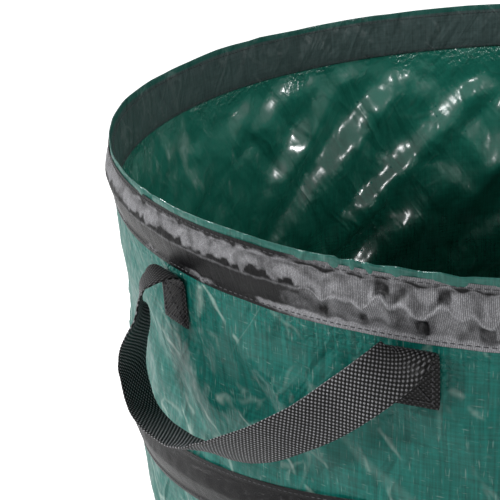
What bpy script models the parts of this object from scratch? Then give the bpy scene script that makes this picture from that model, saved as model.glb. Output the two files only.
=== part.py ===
"""Pop up leaf bag: a round cloth bag held open by a spring wire.

Metres, +Z up. The origin is the middle of the round base, on the ground.
The front handle is on -Y and the back handle is on +Y.
"""
import math

import bmesh
import bpy
from mathutils import Matrix, Vector

# Overall sizes
RIM_RADIUS = 0.280
BAG_HEIGHT = 0.680
STEPS_PER_TURN = 48

# Cloth
CLOTH = 0.0010
TAPE = 0.0008
LAYER_GAP = 0.0003
WALL_SETBACK = 0.0013
PANEL_THICK = 0.0012
HEM_HEIGHT = 0.0055
HEM_ROUND = 0.0012
HEM_LAP = 0.0011
BAND_HEIGHT = 0.0297
BAND_LIP = 0.0040
BULGE_RISE = 0.0060
RIM_SECTION_HEIGHT = 0.075
TIER_COUNT = 4
SEAM_WIDTH = 0.012
SEAM_THICK = 0.0012

# Spring wire
WIRE_RADIUS = 0.0015
WIRE_CLEARANCE = 0.0003

# Spiral sleeve
SLEEVE_WIDTH = 0.0295
SLEEVE_END_GAP = 0.0013
SPIRAL_STEPS = 88
SPIRAL_START_STEP = 11
WIRE_INSET_STEPS = 1

# Handles
WEBBING_WIDTH = 0.025
WEBBING_THICK = 0.0013
HANDLE_END_ANGLE = 15.5
HANDLE_PIVOT_OFF = 0.0110
HANDLE_PIVOT_DROP = 0.0380
HANDLE_DROP = 0.080
HANDLE_STAND_OFF = 0.022
HANDLE_START_GAP = 0.0001
PATCH_LENGTH = 0.030
PATCH_END_GAP = 0.0008
PATCH_END_DROP = 0.0009
PATCH_TOP_RISE = 0.0004
PATCH_BEND = 0.0050
RIBBON_STEPS_PER_ROW = 2

WALL_OUTER = RIM_RADIUS - WALL_SETBACK
WALL_INNER = WALL_OUTER - CLOTH
FACING_OUTER = WALL_INNER - LAYER_GAP
FACING_INNER = FACING_OUTER - CLOTH
TAPE_INNER = WALL_OUTER + LAYER_GAP
TAPE_OUTER = TAPE_INNER + TAPE
WIRE_CENTRE = WALL_OUTER + LAYER_GAP + WIRE_RADIUS
BULGE = 2.0 * WIRE_RADIUS + WIRE_CLEARANCE
RIM_BAND_TOP = BAG_HEIGHT - HEM_HEIGHT - LAYER_GAP
RIM_BAND_BOTTOM = RIM_BAND_TOP - BAND_HEIGHT
BASE_BAND_BOTTOM = HEM_HEIGHT + LAYER_GAP
BASE_BAND_TOP = BASE_BAND_BOTTOM + BAND_HEIGHT
RIM_SECTION_BOTTOM = BAG_HEIGHT - RIM_SECTION_HEIGHT
STEP_ANGLE = 2.0 * math.pi / STEPS_PER_TURN
PIVOT_HEIGHT = BAG_HEIGHT - HANDLE_PIVOT_DROP

# Half of a band's bulge, from its lip to its middle: shares of the rise and of the bulge.
BULGE_SHARES = ((0.0, 0.0), (0.55, 0.45), (1.0, 1.0))

# The strap loop from left to right: shares of the end angle, of the stand-off past the pivot
# and of the drop under it, then the width's direction along, out from and up the wall.
LOOP_SHARES = (
    (-1.00, 0.00, 0.00, -1.00, 0.00, 0.00),
    (-1.00, 0.11, 0.04, -0.98, -0.12, -0.14),
    (-1.00, 0.23, 0.09, -0.91, -0.29, -0.29),
    (-1.00, 0.40, 0.20, -0.77, -0.53, -0.36),
    (-1.04, 0.47, 0.34, -0.60, -0.69, -0.41),
    (-1.13, 0.50, 0.60, -0.48, -0.78, -0.40),
    (-1.11, 0.53, 0.80, -0.40, -0.83, -0.39),
    (-1.03, 0.53, 0.93, -0.42, -0.85, -0.31),
    (-0.87, 0.53, 0.98, -0.52, -0.80, -0.27),
    (-0.66, 0.52, 0.99, -0.65, -0.70, -0.28),
    (-0.48, 0.52, 0.96, -0.70, -0.60, -0.36),
    (-0.34, 0.55, 0.93, -0.68, -0.53, -0.50),
    (-0.20, 0.59, 0.88, -0.57, -0.45, -0.69),
    (-0.02, 0.62, 0.79, -0.34, -0.40, -0.85),
    (0.16, 0.64, 0.68, -0.08, -0.35, -0.93),
    (0.32, 0.61, 0.57, 0.08, -0.28, -0.96),
    (0.50, 0.50, 0.44, 0.22, -0.16, -0.96),
    (0.71, 0.40, 0.26, 0.45, 0.08, -0.88),
    (0.84, 0.29, 0.14, 0.72, 0.12, -0.68),
    (0.94, 0.14, 0.05, 0.93, 0.05, -0.35),
    (1.00, 0.00, 0.00, 1.00, 0.00, 0.00),
)


def clear_scene():
    """Remove every object of the scene."""
    for obj in list(bpy.data.objects):
        bpy.data.objects.remove(obj, do_unlink=True)


def new_collection(name):
    """A collection linked to the scene."""
    collection = bpy.data.collections.new(name)
    bpy.context.scene.collection.children.link(collection)
    return collection


def material(name, colour, roughness, metallic=0.0):
    """A plain material in the real colour of its piece."""
    mat = bpy.data.materials.new(name)
    mat.use_nodes = True
    shader = mat.node_tree.nodes["Principled BSDF"]
    shader.inputs["Base Color"].default_value = (*colour, 1.0)
    shader.inputs["Roughness"].default_value = roughness
    shader.inputs["Metallic"].default_value = metallic
    return mat


def add_object(name, data, collection, mat):
    """An object made from a mesh or a curve."""
    obj = bpy.data.objects.new(name, data)
    collection.objects.link(obj)
    data.materials.append(mat)
    return obj


def line_mesh(name, points, closed):
    """A mesh of edges along points."""
    mesh = bpy.data.meshes.new(name)
    count = len(points)
    edges = [(i, i + 1) for i in range(count - 1)]
    if closed:
        edges.append((count - 1, 0))
    mesh.from_pydata([(r, 0.0, z) for r, z in points], edges, [])
    return mesh


def turned(name, points, collection, mat):
    """A ring turned from a closed outline, outer side first, top to bottom."""
    obj = add_object(name, line_mesh(name, points, True), collection, mat)
    screw = obj.modifiers.new("turn", "SCREW")
    screw.axis = "Z"
    screw.angle = 2.0 * math.pi
    screw.steps = STEPS_PER_TURN
    screw.render_steps = STEPS_PER_TURN
    screw.use_merge_vertices = True
    screw.merge_threshold = 0.00001
    screw.use_smooth_shade = False
    return obj


def ring(name, inner, outer, bottom, top, collection, mat):
    """A plain round wall between two radii and two heights."""
    points = [(outer, top), (outer, bottom), (inner, bottom), (inner, top)]
    return turned(name, points, collection, mat)


def band_line(radius, top, bottom):
    """The bulging line of a band over its wire, from top to bottom."""
    middle = (top + bottom) / 2.0
    upper = [(radius, top)]
    for rise_share, bulge_share in BULGE_SHARES:
        height = middle + BAND_HEIGHT / 2.0 - BAND_LIP - BULGE_RISE * rise_share
        upper.append((radius + BULGE * bulge_share, height))
    lower = [(r, 2.0 * middle - z) for r, z in reversed(upper)]
    return upper + lower


def band(name, top, bottom, collection, mat):
    """A tape band round the bag with the wire's bulge."""
    outer = band_line(TAPE_OUTER, top, bottom)
    inner = band_line(TAPE_INNER, top, bottom)
    return turned(name, outer + list(reversed(inner)), collection, mat)


def hem(name, edge, inward, collection, mat):
    """A folded edge of cloth, with its round side at edge; inward is the way into the bag."""
    outer = RIM_RADIUS
    inner = FACING_INNER - LAYER_GAP
    side = edge + inward * HEM_ROUND
    foot = edge + inward * HEM_HEIGHT
    points = [(outer - HEM_LAP, edge), (outer, side), (outer, foot), (inner, foot), (inner, side),
              (inner + HEM_LAP, edge)]
    if inward > 0:
        points.reverse()
    return turned(name, points, collection, mat)


def wire_ring(name, height, collection, mat):
    """A closed hoop of the spring wire."""
    bpy.ops.mesh.primitive_torus_add(
        major_segments=STEPS_PER_TURN, minor_segments=8,
        major_radius=WIRE_CENTRE, minor_radius=WIRE_RADIUS, location=(0.0, 0.0, height))
    obj = bpy.context.active_object
    obj.name = name
    obj.data.name = name
    for other in list(obj.users_collection):
        other.objects.unlink(obj)
    collection.objects.link(obj)
    obj.data.materials.append(mat)
    return obj


def disc(name, radius, thick, collection, mat):
    """The round base panel, lying on the ground."""
    mesh = bpy.data.meshes.new(name)
    shape = bmesh.new()
    bmesh.ops.create_cone(shape, cap_ends=True, segments=STEPS_PER_TURN, radius1=radius,
                          radius2=radius, depth=thick)
    bmesh.ops.translate(shape, verts=shape.verts, vec=(0.0, 0.0, thick / 2.0))
    shape.to_mesh(mesh)
    shape.free()
    return add_object(name, mesh, collection, mat)


def spiral_heights():
    """The heights of the sleeve's middle at its lower and its upper end."""
    low = BASE_BAND_TOP + SLEEVE_END_GAP + SLEEVE_WIDTH / 2.0
    high = RIM_BAND_BOTTOM - SLEEVE_END_GAP - SLEEVE_WIDTH / 2.0
    return low, high


def sleeve(name, collection, mat):
    """The spiral tape over the wire, a shell swept round and up the wall."""
    low, high = spiral_heights()
    half = SLEEVE_WIDTH / 2.0
    points = [(TAPE_OUTER, low + half)]
    for rise_share, bulge_share in BULGE_SHARES:
        points.append((TAPE_OUTER + BULGE * bulge_share, low + half - BAND_LIP - BULGE_RISE * rise_share))
    points += [(r, 2.0 * low - z) for r, z in reversed(points)]
    obj = add_object(name, line_mesh(name, points, False), collection, mat)
    screw = obj.modifiers.new("wind", "SCREW")
    screw.axis = "Z"
    screw.angle = SPIRAL_STEPS * STEP_ANGLE
    screw.screw_offset = high - low
    screw.steps = SPIRAL_STEPS
    screw.render_steps = SPIRAL_STEPS
    screw.use_smooth_shade = False
    solid = obj.modifiers.new("thickness", "SOLIDIFY")
    solid.thickness = TAPE
    solid.offset = -1.0
    obj.rotation_euler = (0.0, 0.0, SPIRAL_START_STEP * STEP_ANGLE)
    return obj


def spiral_point(step):
    """A point of the wire's spiral, counted in steps from the sleeve's lower end."""
    low, high = spiral_heights()
    angle = (SPIRAL_START_STEP + step) * STEP_ANGLE
    height = low + (high - low) * step / SPIRAL_STEPS
    return Vector((WIRE_CENTRE * math.cos(angle), WIRE_CENTRE * math.sin(angle), height))


def spiral_wire(name, collection, mat):
    """The spring wire wound up the wall inside its sleeve."""
    steps = range(WIRE_INSET_STEPS, SPIRAL_STEPS - WIRE_INSET_STEPS + 1)
    curve = bpy.data.curves.new(name, "CURVE")
    curve.dimensions = "3D"
    curve.bevel_depth = WIRE_RADIUS
    curve.bevel_resolution = 2
    curve.use_fill_caps = True
    spline = curve.splines.new("POLY")
    spline.points.add(len(steps) - 1)
    for point, step in zip(spline.points, steps):
        point.co = (*spiral_point(step), 1.0)
    return add_object(name, curve, collection, mat)


def side_seam(name, collection, mat):
    """The folded seam that closes the wall, inside it on a flat of the wall."""
    flat = math.cos(STEP_ANGLE / 2.0)
    outer = WALL_INNER * flat - LAYER_GAP
    low = HEM_HEIGHT + LAYER_GAP
    high = RIM_BAND_BOTTOM - LAYER_GAP
    bpy.ops.mesh.primitive_cube_add(size=1.0)
    obj = bpy.context.active_object
    obj.name = name
    obj.data.name = name
    place = Matrix.Rotation(STEP_ANGLE / 2.0, 4, "Z") @ Matrix.Translation(
        (outer - SEAM_THICK / 2.0, 0.0, (low + high) / 2.0))
    size = Matrix.Diagonal((SEAM_THICK, SEAM_WIDTH, high - low, 1.0))
    obj.data.transform(place @ size)
    for other in list(obj.users_collection):
        other.objects.unlink(obj)
    collection.objects.link(obj)
    obj.data.materials.append(mat)
    return obj


def wall_frame(angle):
    """Directions along and out from the wall at an angle from the front, in radians."""
    along = Vector((math.cos(angle), math.sin(angle), 0.0))
    out = Vector((math.sin(angle), -math.cos(angle), 0.0))
    return along, out


def catmull(rows, cuts):
    """A smooth run of rows through the given rows."""
    result = []
    last = len(rows) - 1
    for index in range(last):
        before = rows[max(index - 1, 0)]
        start = rows[index]
        end = rows[index + 1]
        after = rows[min(index + 2, last)]
        for cut in range(cuts):
            t = cut / cuts
            result.append([
                0.5 * (2.0 * b + (c - a) * t + (2.0 * a - 5.0 * b + 4.0 * c - d) * t * t
                       + (3.0 * b - a - 3.0 * c + d) * t * t * t)
                for a, b, c, d in zip(before, start, end, after)])
    result.append(list(rows[last]))
    return result


def handle_loop(name, turn, collection, mat):
    """The free loop of a handle, a twisted ribbon of webbing; turn is its angle about the bag."""
    rows = catmull(LOOP_SHARES, RIBBON_STEPS_PER_ROW)
    mesh = bpy.data.meshes.new(name)
    shape = bmesh.new()
    rail = []
    for angle_share, off_share, drop_share, side, lean, rise in rows:
        angle = math.radians(HANDLE_END_ANGLE * angle_share)
        along, out = wall_frame(angle)
        reach = HANDLE_PIVOT_OFF + HANDLE_START_GAP + HANDLE_STAND_OFF * off_share
        centre = out * (RIM_RADIUS + reach)
        centre.z = PIVOT_HEIGHT - HANDLE_DROP * drop_share
        across = (along * side + out * lean + Vector((0.0, 0.0, rise))).normalized()
        half = across * (WEBBING_WIDTH / 2.0)
        rail.append((shape.verts.new(centre - half), shape.verts.new(centre + half)))
    for (a, b), (c, d) in zip(rail, rail[1:]):
        shape.faces.new((a, b, d, c))
    bmesh.ops.recalc_face_normals(shape, faces=shape.faces)
    pivot = Vector((0.0, -(RIM_RADIUS + HANDLE_PIVOT_OFF) * math.cos(math.radians(HANDLE_END_ANGLE)),
                    PIVOT_HEIGHT))
    bmesh.ops.translate(shape, verts=shape.verts, vec=-pivot)
    shape.to_mesh(mesh)
    shape.free()
    obj = add_object(name, mesh, collection, mat)
    solid = obj.modifiers.new("thickness", "SOLIDIFY")
    solid.thickness = WEBBING_THICK
    solid.offset = 0.0
    solid.use_even_offset = True
    obj.matrix_world = Matrix.Rotation(turn, 4, "Z") @ Matrix.Translation(pivot)
    return obj


def strip_outline(line, thick):
    """The outline of a strip of even thickness along a line in a plane."""
    left = []
    right = []
    for index, (x, y) in enumerate(line):
        before = line[max(index - 1, 0)]
        after = line[min(index + 1, len(line) - 1)]
        run = Vector((after[0] - before[0], after[1] - before[1])).normalized()
        side = Vector((-run.y, run.x)) * (thick / 2.0)
        left.append((x + side.x, y + side.y))
        right.append((x - side.x, y - side.y))
    return left + list(reversed(right))


def patch(name, angle, turn, collection, mat):
    """A sewn end of a handle: flat on the wall, then folded outward at its top."""
    half = WEBBING_THICK / 2.0
    base = LAYER_GAP + half
    end = RIM_RADIUS + HANDLE_PIVOT_OFF - PATCH_END_GAP - WALL_OUTER
    top = RIM_BAND_BOTTOM - LAYER_GAP - PATCH_TOP_RISE - half - PIVOT_HEIGHT
    bottom = top - PATCH_BEND - PATCH_LENGTH
    line = [(base, bottom)]
    for part in range(5):
        t = math.pi / 2.0 * part / 4.0
        line.append((base + PATCH_BEND * (1.0 - math.cos(t)), top - PATCH_BEND * (1.0 - math.sin(t))))
    line.append((end, -PATCH_END_DROP))
    curve = bpy.data.curves.new(name, "CURVE")
    curve.dimensions = "2D"
    curve.fill_mode = "BOTH"
    curve.extrude = WEBBING_WIDTH / 2.0
    points = strip_outline(line, WEBBING_THICK)
    spline = curve.splines.new("POLY")
    spline.use_cyclic_u = True
    spline.points.add(len(points) - 1)
    for point, (x, y) in zip(spline.points, points):
        point.co = (x, y, 0.0, 1.0)
    obj = add_object(name, curve, collection, mat)
    along, out = wall_frame(math.radians(angle))
    up = Vector((0.0, 0.0, 1.0))
    across = out.cross(up)
    turned_frame = Matrix((out, up, across)).transposed().to_4x4()
    place = Matrix.Translation(out * WALL_OUTER + up * PIVOT_HEIGHT)
    obj.matrix_world = Matrix.Rotation(turn, 4, "Z") @ place @ turned_frame
    return obj


def build():
    """Make every piece of the bag."""
    clear_scene()
    parts = new_collection("pop_up_leaf_bag")
    green = material("woven_green_cloth", (0.021, 0.120, 0.092), 0.38)
    hem_green = material("folded_green_hem", (0.055, 0.180, 0.150), 0.45)
    tape = material("black_tape", (0.020, 0.020, 0.023), 0.50)
    webbing = material("black_webbing", (0.014, 0.014, 0.015), 0.65)
    steel = material("spring_steel", (0.42, 0.42, 0.43), 0.35, 1.0)

    disc("base_panel", FACING_INNER - 2.0 * LAYER_GAP, PANEL_THICK, parts, green)
    hem("base_hem", 0.0, 1.0, parts, hem_green)
    hem("rim_hem", BAG_HEIGHT, -1.0, parts, hem_green)
    band("base_band", BASE_BAND_TOP, BASE_BAND_BOTTOM, parts, tape)
    band("rim_band", RIM_BAND_TOP, RIM_BAND_BOTTOM, parts, tape)
    wire_ring("base_ring_wire", (BASE_BAND_TOP + BASE_BAND_BOTTOM) / 2.0, parts, steel)
    wire_ring("rim_ring_wire", (RIM_BAND_TOP + RIM_BAND_BOTTOM) / 2.0, parts, steel)
    ring("rim_wall", WALL_INNER, WALL_OUTER, RIM_SECTION_BOTTOM, RIM_BAND_TOP, parts, green)
    ring("rim_facing", FACING_INNER, FACING_OUTER, RIM_BAND_BOTTOM, RIM_BAND_TOP, parts, hem_green)

    foot = BASE_BAND_BOTTOM
    tier_height = (RIM_SECTION_BOTTOM - foot) / TIER_COUNT
    for tier in range(TIER_COUNT):
        low = foot + tier * tier_height
        high = low + tier_height - LAYER_GAP
        ring("wall_tier_%d" % (tier + 1), WALL_INNER, WALL_OUTER, low, high, parts, green)
    side_seam("side_seam", parts, green)
    sleeve("spiral_sleeve", parts, tape)
    spiral_wire("spiral_wire", parts, steel)

    for side, turn in (("front", 0.0), ("back", math.pi)):
        patch("handle_end_%s_left" % side, -HANDLE_END_ANGLE, turn, parts, webbing)
        patch("handle_end_%s_right" % side, HANDLE_END_ANGLE, turn, parts, webbing)
        handle_loop("handle_loop_%s" % side, turn, parts, webbing)
    bpy.context.view_layer.update()


build()
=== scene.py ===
# %% [markdown]
# # A pop up leaf bag in laminated woven cloth
# The bag is a tube of green woven polyethylene. A spring wire runs in a black tape at the rim, in a
# spiral sleeve up the wall and in a tape at the base. We dress the CAD frame piece by piece: each
# piece is worked out from real sizes, in metres, and rides on the body that carries it.

# %% Load the frame
import math

import bmesh
import bpy
import numpy as np
from mathutils import Matrix, Vector, noise


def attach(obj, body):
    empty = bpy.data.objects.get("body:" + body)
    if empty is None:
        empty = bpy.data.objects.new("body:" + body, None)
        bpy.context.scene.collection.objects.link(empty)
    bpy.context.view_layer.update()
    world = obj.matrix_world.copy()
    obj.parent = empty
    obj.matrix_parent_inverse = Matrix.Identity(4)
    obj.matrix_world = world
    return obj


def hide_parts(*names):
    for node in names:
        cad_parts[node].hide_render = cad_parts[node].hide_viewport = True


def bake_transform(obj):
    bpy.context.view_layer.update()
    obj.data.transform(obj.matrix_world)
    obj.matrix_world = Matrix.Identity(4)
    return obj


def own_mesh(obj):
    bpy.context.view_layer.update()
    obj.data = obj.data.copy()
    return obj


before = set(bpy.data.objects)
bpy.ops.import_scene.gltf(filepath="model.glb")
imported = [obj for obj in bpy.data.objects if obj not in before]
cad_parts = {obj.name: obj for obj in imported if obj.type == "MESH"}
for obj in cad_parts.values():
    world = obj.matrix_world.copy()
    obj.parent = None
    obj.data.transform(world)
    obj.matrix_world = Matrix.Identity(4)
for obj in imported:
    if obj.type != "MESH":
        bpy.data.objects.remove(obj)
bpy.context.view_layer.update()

# %% [markdown]
# The sizes are those of the frame. A folded hem stands over the rim tape, and the tape is sewn down
# along two lips with the wire in the bulge between them. Angles are counted from the front handle.

# %% Sizes of the bag
MM = 0.001
FULL_TURN = 2 * math.pi
RIM_R = 280 * MM
TOP = 680 * MM
CLOTH_R = 278.7 * MM
CLOTH_THICK = 0.6 * MM
TAPE_R = 279.1 * MM
TAPE_THICK = 0.7 * MM
TAPE_LIP = 4.2 * MM
BULGE = 3.4 * MM
RIM_TAPE = (644.5 * MM, 676.0 * MM)
BASE_TAPE = (5.8 * MM, 35.5 * MM)
SLEEVE_WIDE = 29.5 * MM
SPIRAL_LOW, SPIRAL_HIGH = 51.55 * MM, 628.45 * MM
SPIRAL_START = math.radians(82.5)
SPIRAL_TURN = math.radians(660)
SPIRAL_SLOPE = (SPIRAL_HIGH - SPIRAL_LOW) / SPIRAL_TURN
WEBBING_WIDE = 25 * MM
WEBBING_THICK = 1.4 * MM
END_ANGLE = 15.5

# %% [markdown]
# The camera looks down into the bag from in front of the handle. Its place was worked out from the
# rim's ellipse: the distance and the tilt give the ellipse its size and its flatness, and a small
# roll gives the rim its lean. A real camera's lens is stated in millimetres on a 36 mm sensor.

# %% Camera
YAW, PITCH, ROLL = math.radians(43.0), math.radians(22.86), math.radians(-3.93)
CAMERA_PLACE = (0.33857, -0.65251, TOP + 0.20776)
camera_data = bpy.data.cameras.new("camera")
camera_data.lens = 85.15
camera_data.sensor_width = 36.0
camera_data.clip_start = 0.01
camera = bpy.data.objects.new("camera", camera_data)
bpy.context.scene.collection.objects.link(camera)
ahead = Vector((-math.sin(YAW) * math.cos(PITCH), math.cos(YAW) * math.cos(PITCH), -math.sin(PITCH)))
right = Vector((math.cos(YAW), math.sin(YAW), 0.0))
above = right.cross(ahead)
cam_x = right * math.cos(ROLL) + above * math.sin(ROLL)
cam_y = above * math.cos(ROLL) - right * math.sin(ROLL)
facing = Matrix((cam_x, cam_y, -ahead)).transposed().to_4x4()
camera.matrix_world = Matrix.Translation(CAMERA_PLACE) @ facing
bpy.context.scene.camera = camera
print("camera to the rim's middle:", round((Vector(CAMERA_PLACE) - Vector((0, 0, TOP))).length, 3), "m")

# %% [markdown]
# Two small helpers serve every material. Colours are written as sRGB hex, as a colour card gives
# them, and one function turns them into the linear values that the renderer works in. The other
# adds a shader node with its settings and links in one line. Patterns are then mixed as weighted sums.

# %% Colour and node helpers
def linear(code):
    """Linear RGBA of an sRGB hex colour."""
    parts = [int(code[i:i + 2], 16) / 255 for i in (1, 3, 5)]
    return tuple(p / 12.92 if p <= 0.04045 else ((p + 0.055) / 1.055) ** 2.4 for p in parts) + (1.0,)


def add(tree, kind, inputs=None, **settings):
    """Add a node; each input is a value, a socket, or a node whose first output feeds it."""
    node = tree.nodes.new(kind)
    for key, value in settings.items():
        setattr(node, key, value)
    for key, value in (inputs or {}).items():
        if isinstance(value, bpy.types.Node):
            value = value.outputs[0]
        if isinstance(value, bpy.types.NodeSocket):
            tree.links.new(value, node.inputs[key])
        else:
            node.inputs[key].default_value = value
    return node


def weighted(tree, *parts):
    """Patterns added up, each times its weight, which is a number or another pattern."""
    result = 0.0
    for pattern, weight in parts:
        result = add(tree, "ShaderNodeMath", {0: pattern, 1: weight, 2: result}, operation="MULTIPLY_ADD")
    return result


def new_material(name):
    """An empty material with its shader and its output joined."""
    mat = bpy.data.materials.new(name)
    mat.use_nodes = True
    tree = mat.node_tree
    tree.nodes.clear()
    shader = add(tree, "ShaderNodeBsdfPrincipled")
    add(tree, "ShaderNodeOutputMaterial", {"Surface": shader})
    return mat, tree, shader


# %% [markdown]
# ** Laminated woven polyethylene.** Flat tapes are woven and then sealed under a clear film. Where the
# cloth has been folded the tapes stress and turn pale, so grey-green marks run along the old creases;
# the same pale marks also stand in for the film's reflection along its wrinkles, as a painted sheen.
# They come in two kinds, and each has its own way. Long wandering lines lie where smooth noise
# crosses its middle value. Straight strokes that meet at corners, as in crumpled film, are the edges
# of Voronoi cells. Both are stretched along a slant and broken up by more noise, as the real ones
# are. Every pattern reads the piece's own UV map, which is laid out in metres.

# %% Crease patterns
def along_slant(tree, place, slant, shift, wide, tall):
    """The map turned to a slant in degrees, and that map in lumps wide by tall, in metres."""
    turned = add(tree, "ShaderNodeMapping", {"Vector": place, "Location": (*shift, 0.0),
                                             "Rotation": (0.0, 0.0, math.radians(slant))})
    return turned, add(tree, "ShaderNodeMapping", {"Vector": turned, "Scale": (1 / wide, 1 / tall, 1.0)})


def broken_lines(tree, gap, width, place, size, detail, low, high):
    """Lines where the gap is smaller than a width, kept only where noise is high."""
    line = add(tree, "ShaderNodeMapRange", {"Value": gap, "From Max": width, "To Min": 1.0, "To Max": 0.0},
               interpolation_type="SMOOTHSTEP")
    field = add(tree, "ShaderNodeTexNoise", {"Vector": place, "Scale": 1 / size, "Detail": detail})
    kept = add(tree, "ShaderNodeMapRange", {"Value": field, "From Min": low, "From Max": high})
    return weighted(tree, (line, kept))


def crease_lines(tree, uv, slant, wide, tall, width, shift):
    """Long wandering lines along a slant."""
    turned, scaled = along_slant(tree, uv, slant, (shift, shift), wide, tall)
    field = add(tree, "ShaderNodeTexNoise", {"Vector": scaled, "Scale": 1.0, "Detail": 2.0, "Roughness": 0.35,
                                             "Distortion": 0.2})
    off = add(tree, "ShaderNodeMath", {0: field, 1: 0.5}, operation="SUBTRACT")
    gap = add(tree, "ShaderNodeMath", {0: off}, operation="ABSOLUTE")
    return broken_lines(tree, gap, width, turned, 1.4 * wide, 2.0, 0.50, 0.70)


def crease_web(tree, uv, slant, wide, tall, width, shift):
    """Straight strokes that meet at corners; the map is bent first, so that no edge is quite straight."""
    bent = add(tree, "ShaderNodeTexNoise", {"Vector": uv, "Scale": 1 / (16 * MM), "Detail": 1.0})
    moved = add(tree, "ShaderNodeVectorMath", {0: bent.outputs["Color"], 1: (11 * MM,) * 3, 2: uv},
                operation="MULTIPLY_ADD")
    turned, scaled = along_slant(tree, moved, slant, (shift, shift), wide, tall)
    cells = add(tree, "ShaderNodeTexVoronoi", {"Vector": scaled, "Scale": 1.0}, feature="DISTANCE_TO_EDGE",
                voronoi_dimensions="2D")
    return broken_lines(tree, cells.outputs["Distance"], width, turned, 0.9 * wide, 3.0, 0.52, 0.62)


# %% [markdown]
# The weave shows as faint upright and level streaks with a few pale dashes, where a tape lies open.
# The tapes are about 1.2 mm wide here. The clear film is a coat over the cloth, with a bumpiness of
# its own: soft lumps that break a lamp's reflection into separate glints. Near a seam the film is
# drawn up in sharp puckers, which come from a value kept on the mesh. Creases gather where the bag
# is handled, so slow noise leaves calm areas between them.

# %% Woven cloth material
def lumps(tree, place, wide, tall, detail):
    """Smooth noise in lumps wide by tall, in metres."""
    scaled = add(tree, "ShaderNodeMapping", {"Vector": place, "Scale": (1 / wide, 1 / tall, 1.0)})
    return add(tree, "ShaderNodeTexNoise", {"Vector": scaled, "Scale": 1.0, "Detail": detail})


def folded_film(tree, uv, slant, wide, tall, shift):
    """Soft folds with a sharper crest, drawn out along a slant."""
    _, scaled = along_slant(tree, uv, slant, (shift, 0.0), wide, tall)
    field = add(tree, "ShaderNodeTexNoise", {"Vector": scaled, "Scale": 1.0, "Detail": 3.0, "Roughness": 0.45,
                                             "Distortion": 0.4})
    off = add(tree, "ShaderNodeMath", {0: field, 1: 0.5}, operation="SUBTRACT")
    soft = add(tree, "ShaderNodeMath", {0: off, 1: off, 2: 0.0004}, operation="MULTIPLY_ADD")
    crest = add(tree, "ShaderNodeMath", {0: soft, 1: 0.5}, operation="POWER")
    return add(tree, "ShaderNodeMath", {0: crest, 1: -3.0, 2: 1.0}, operation="MULTIPLY_ADD")


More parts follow.
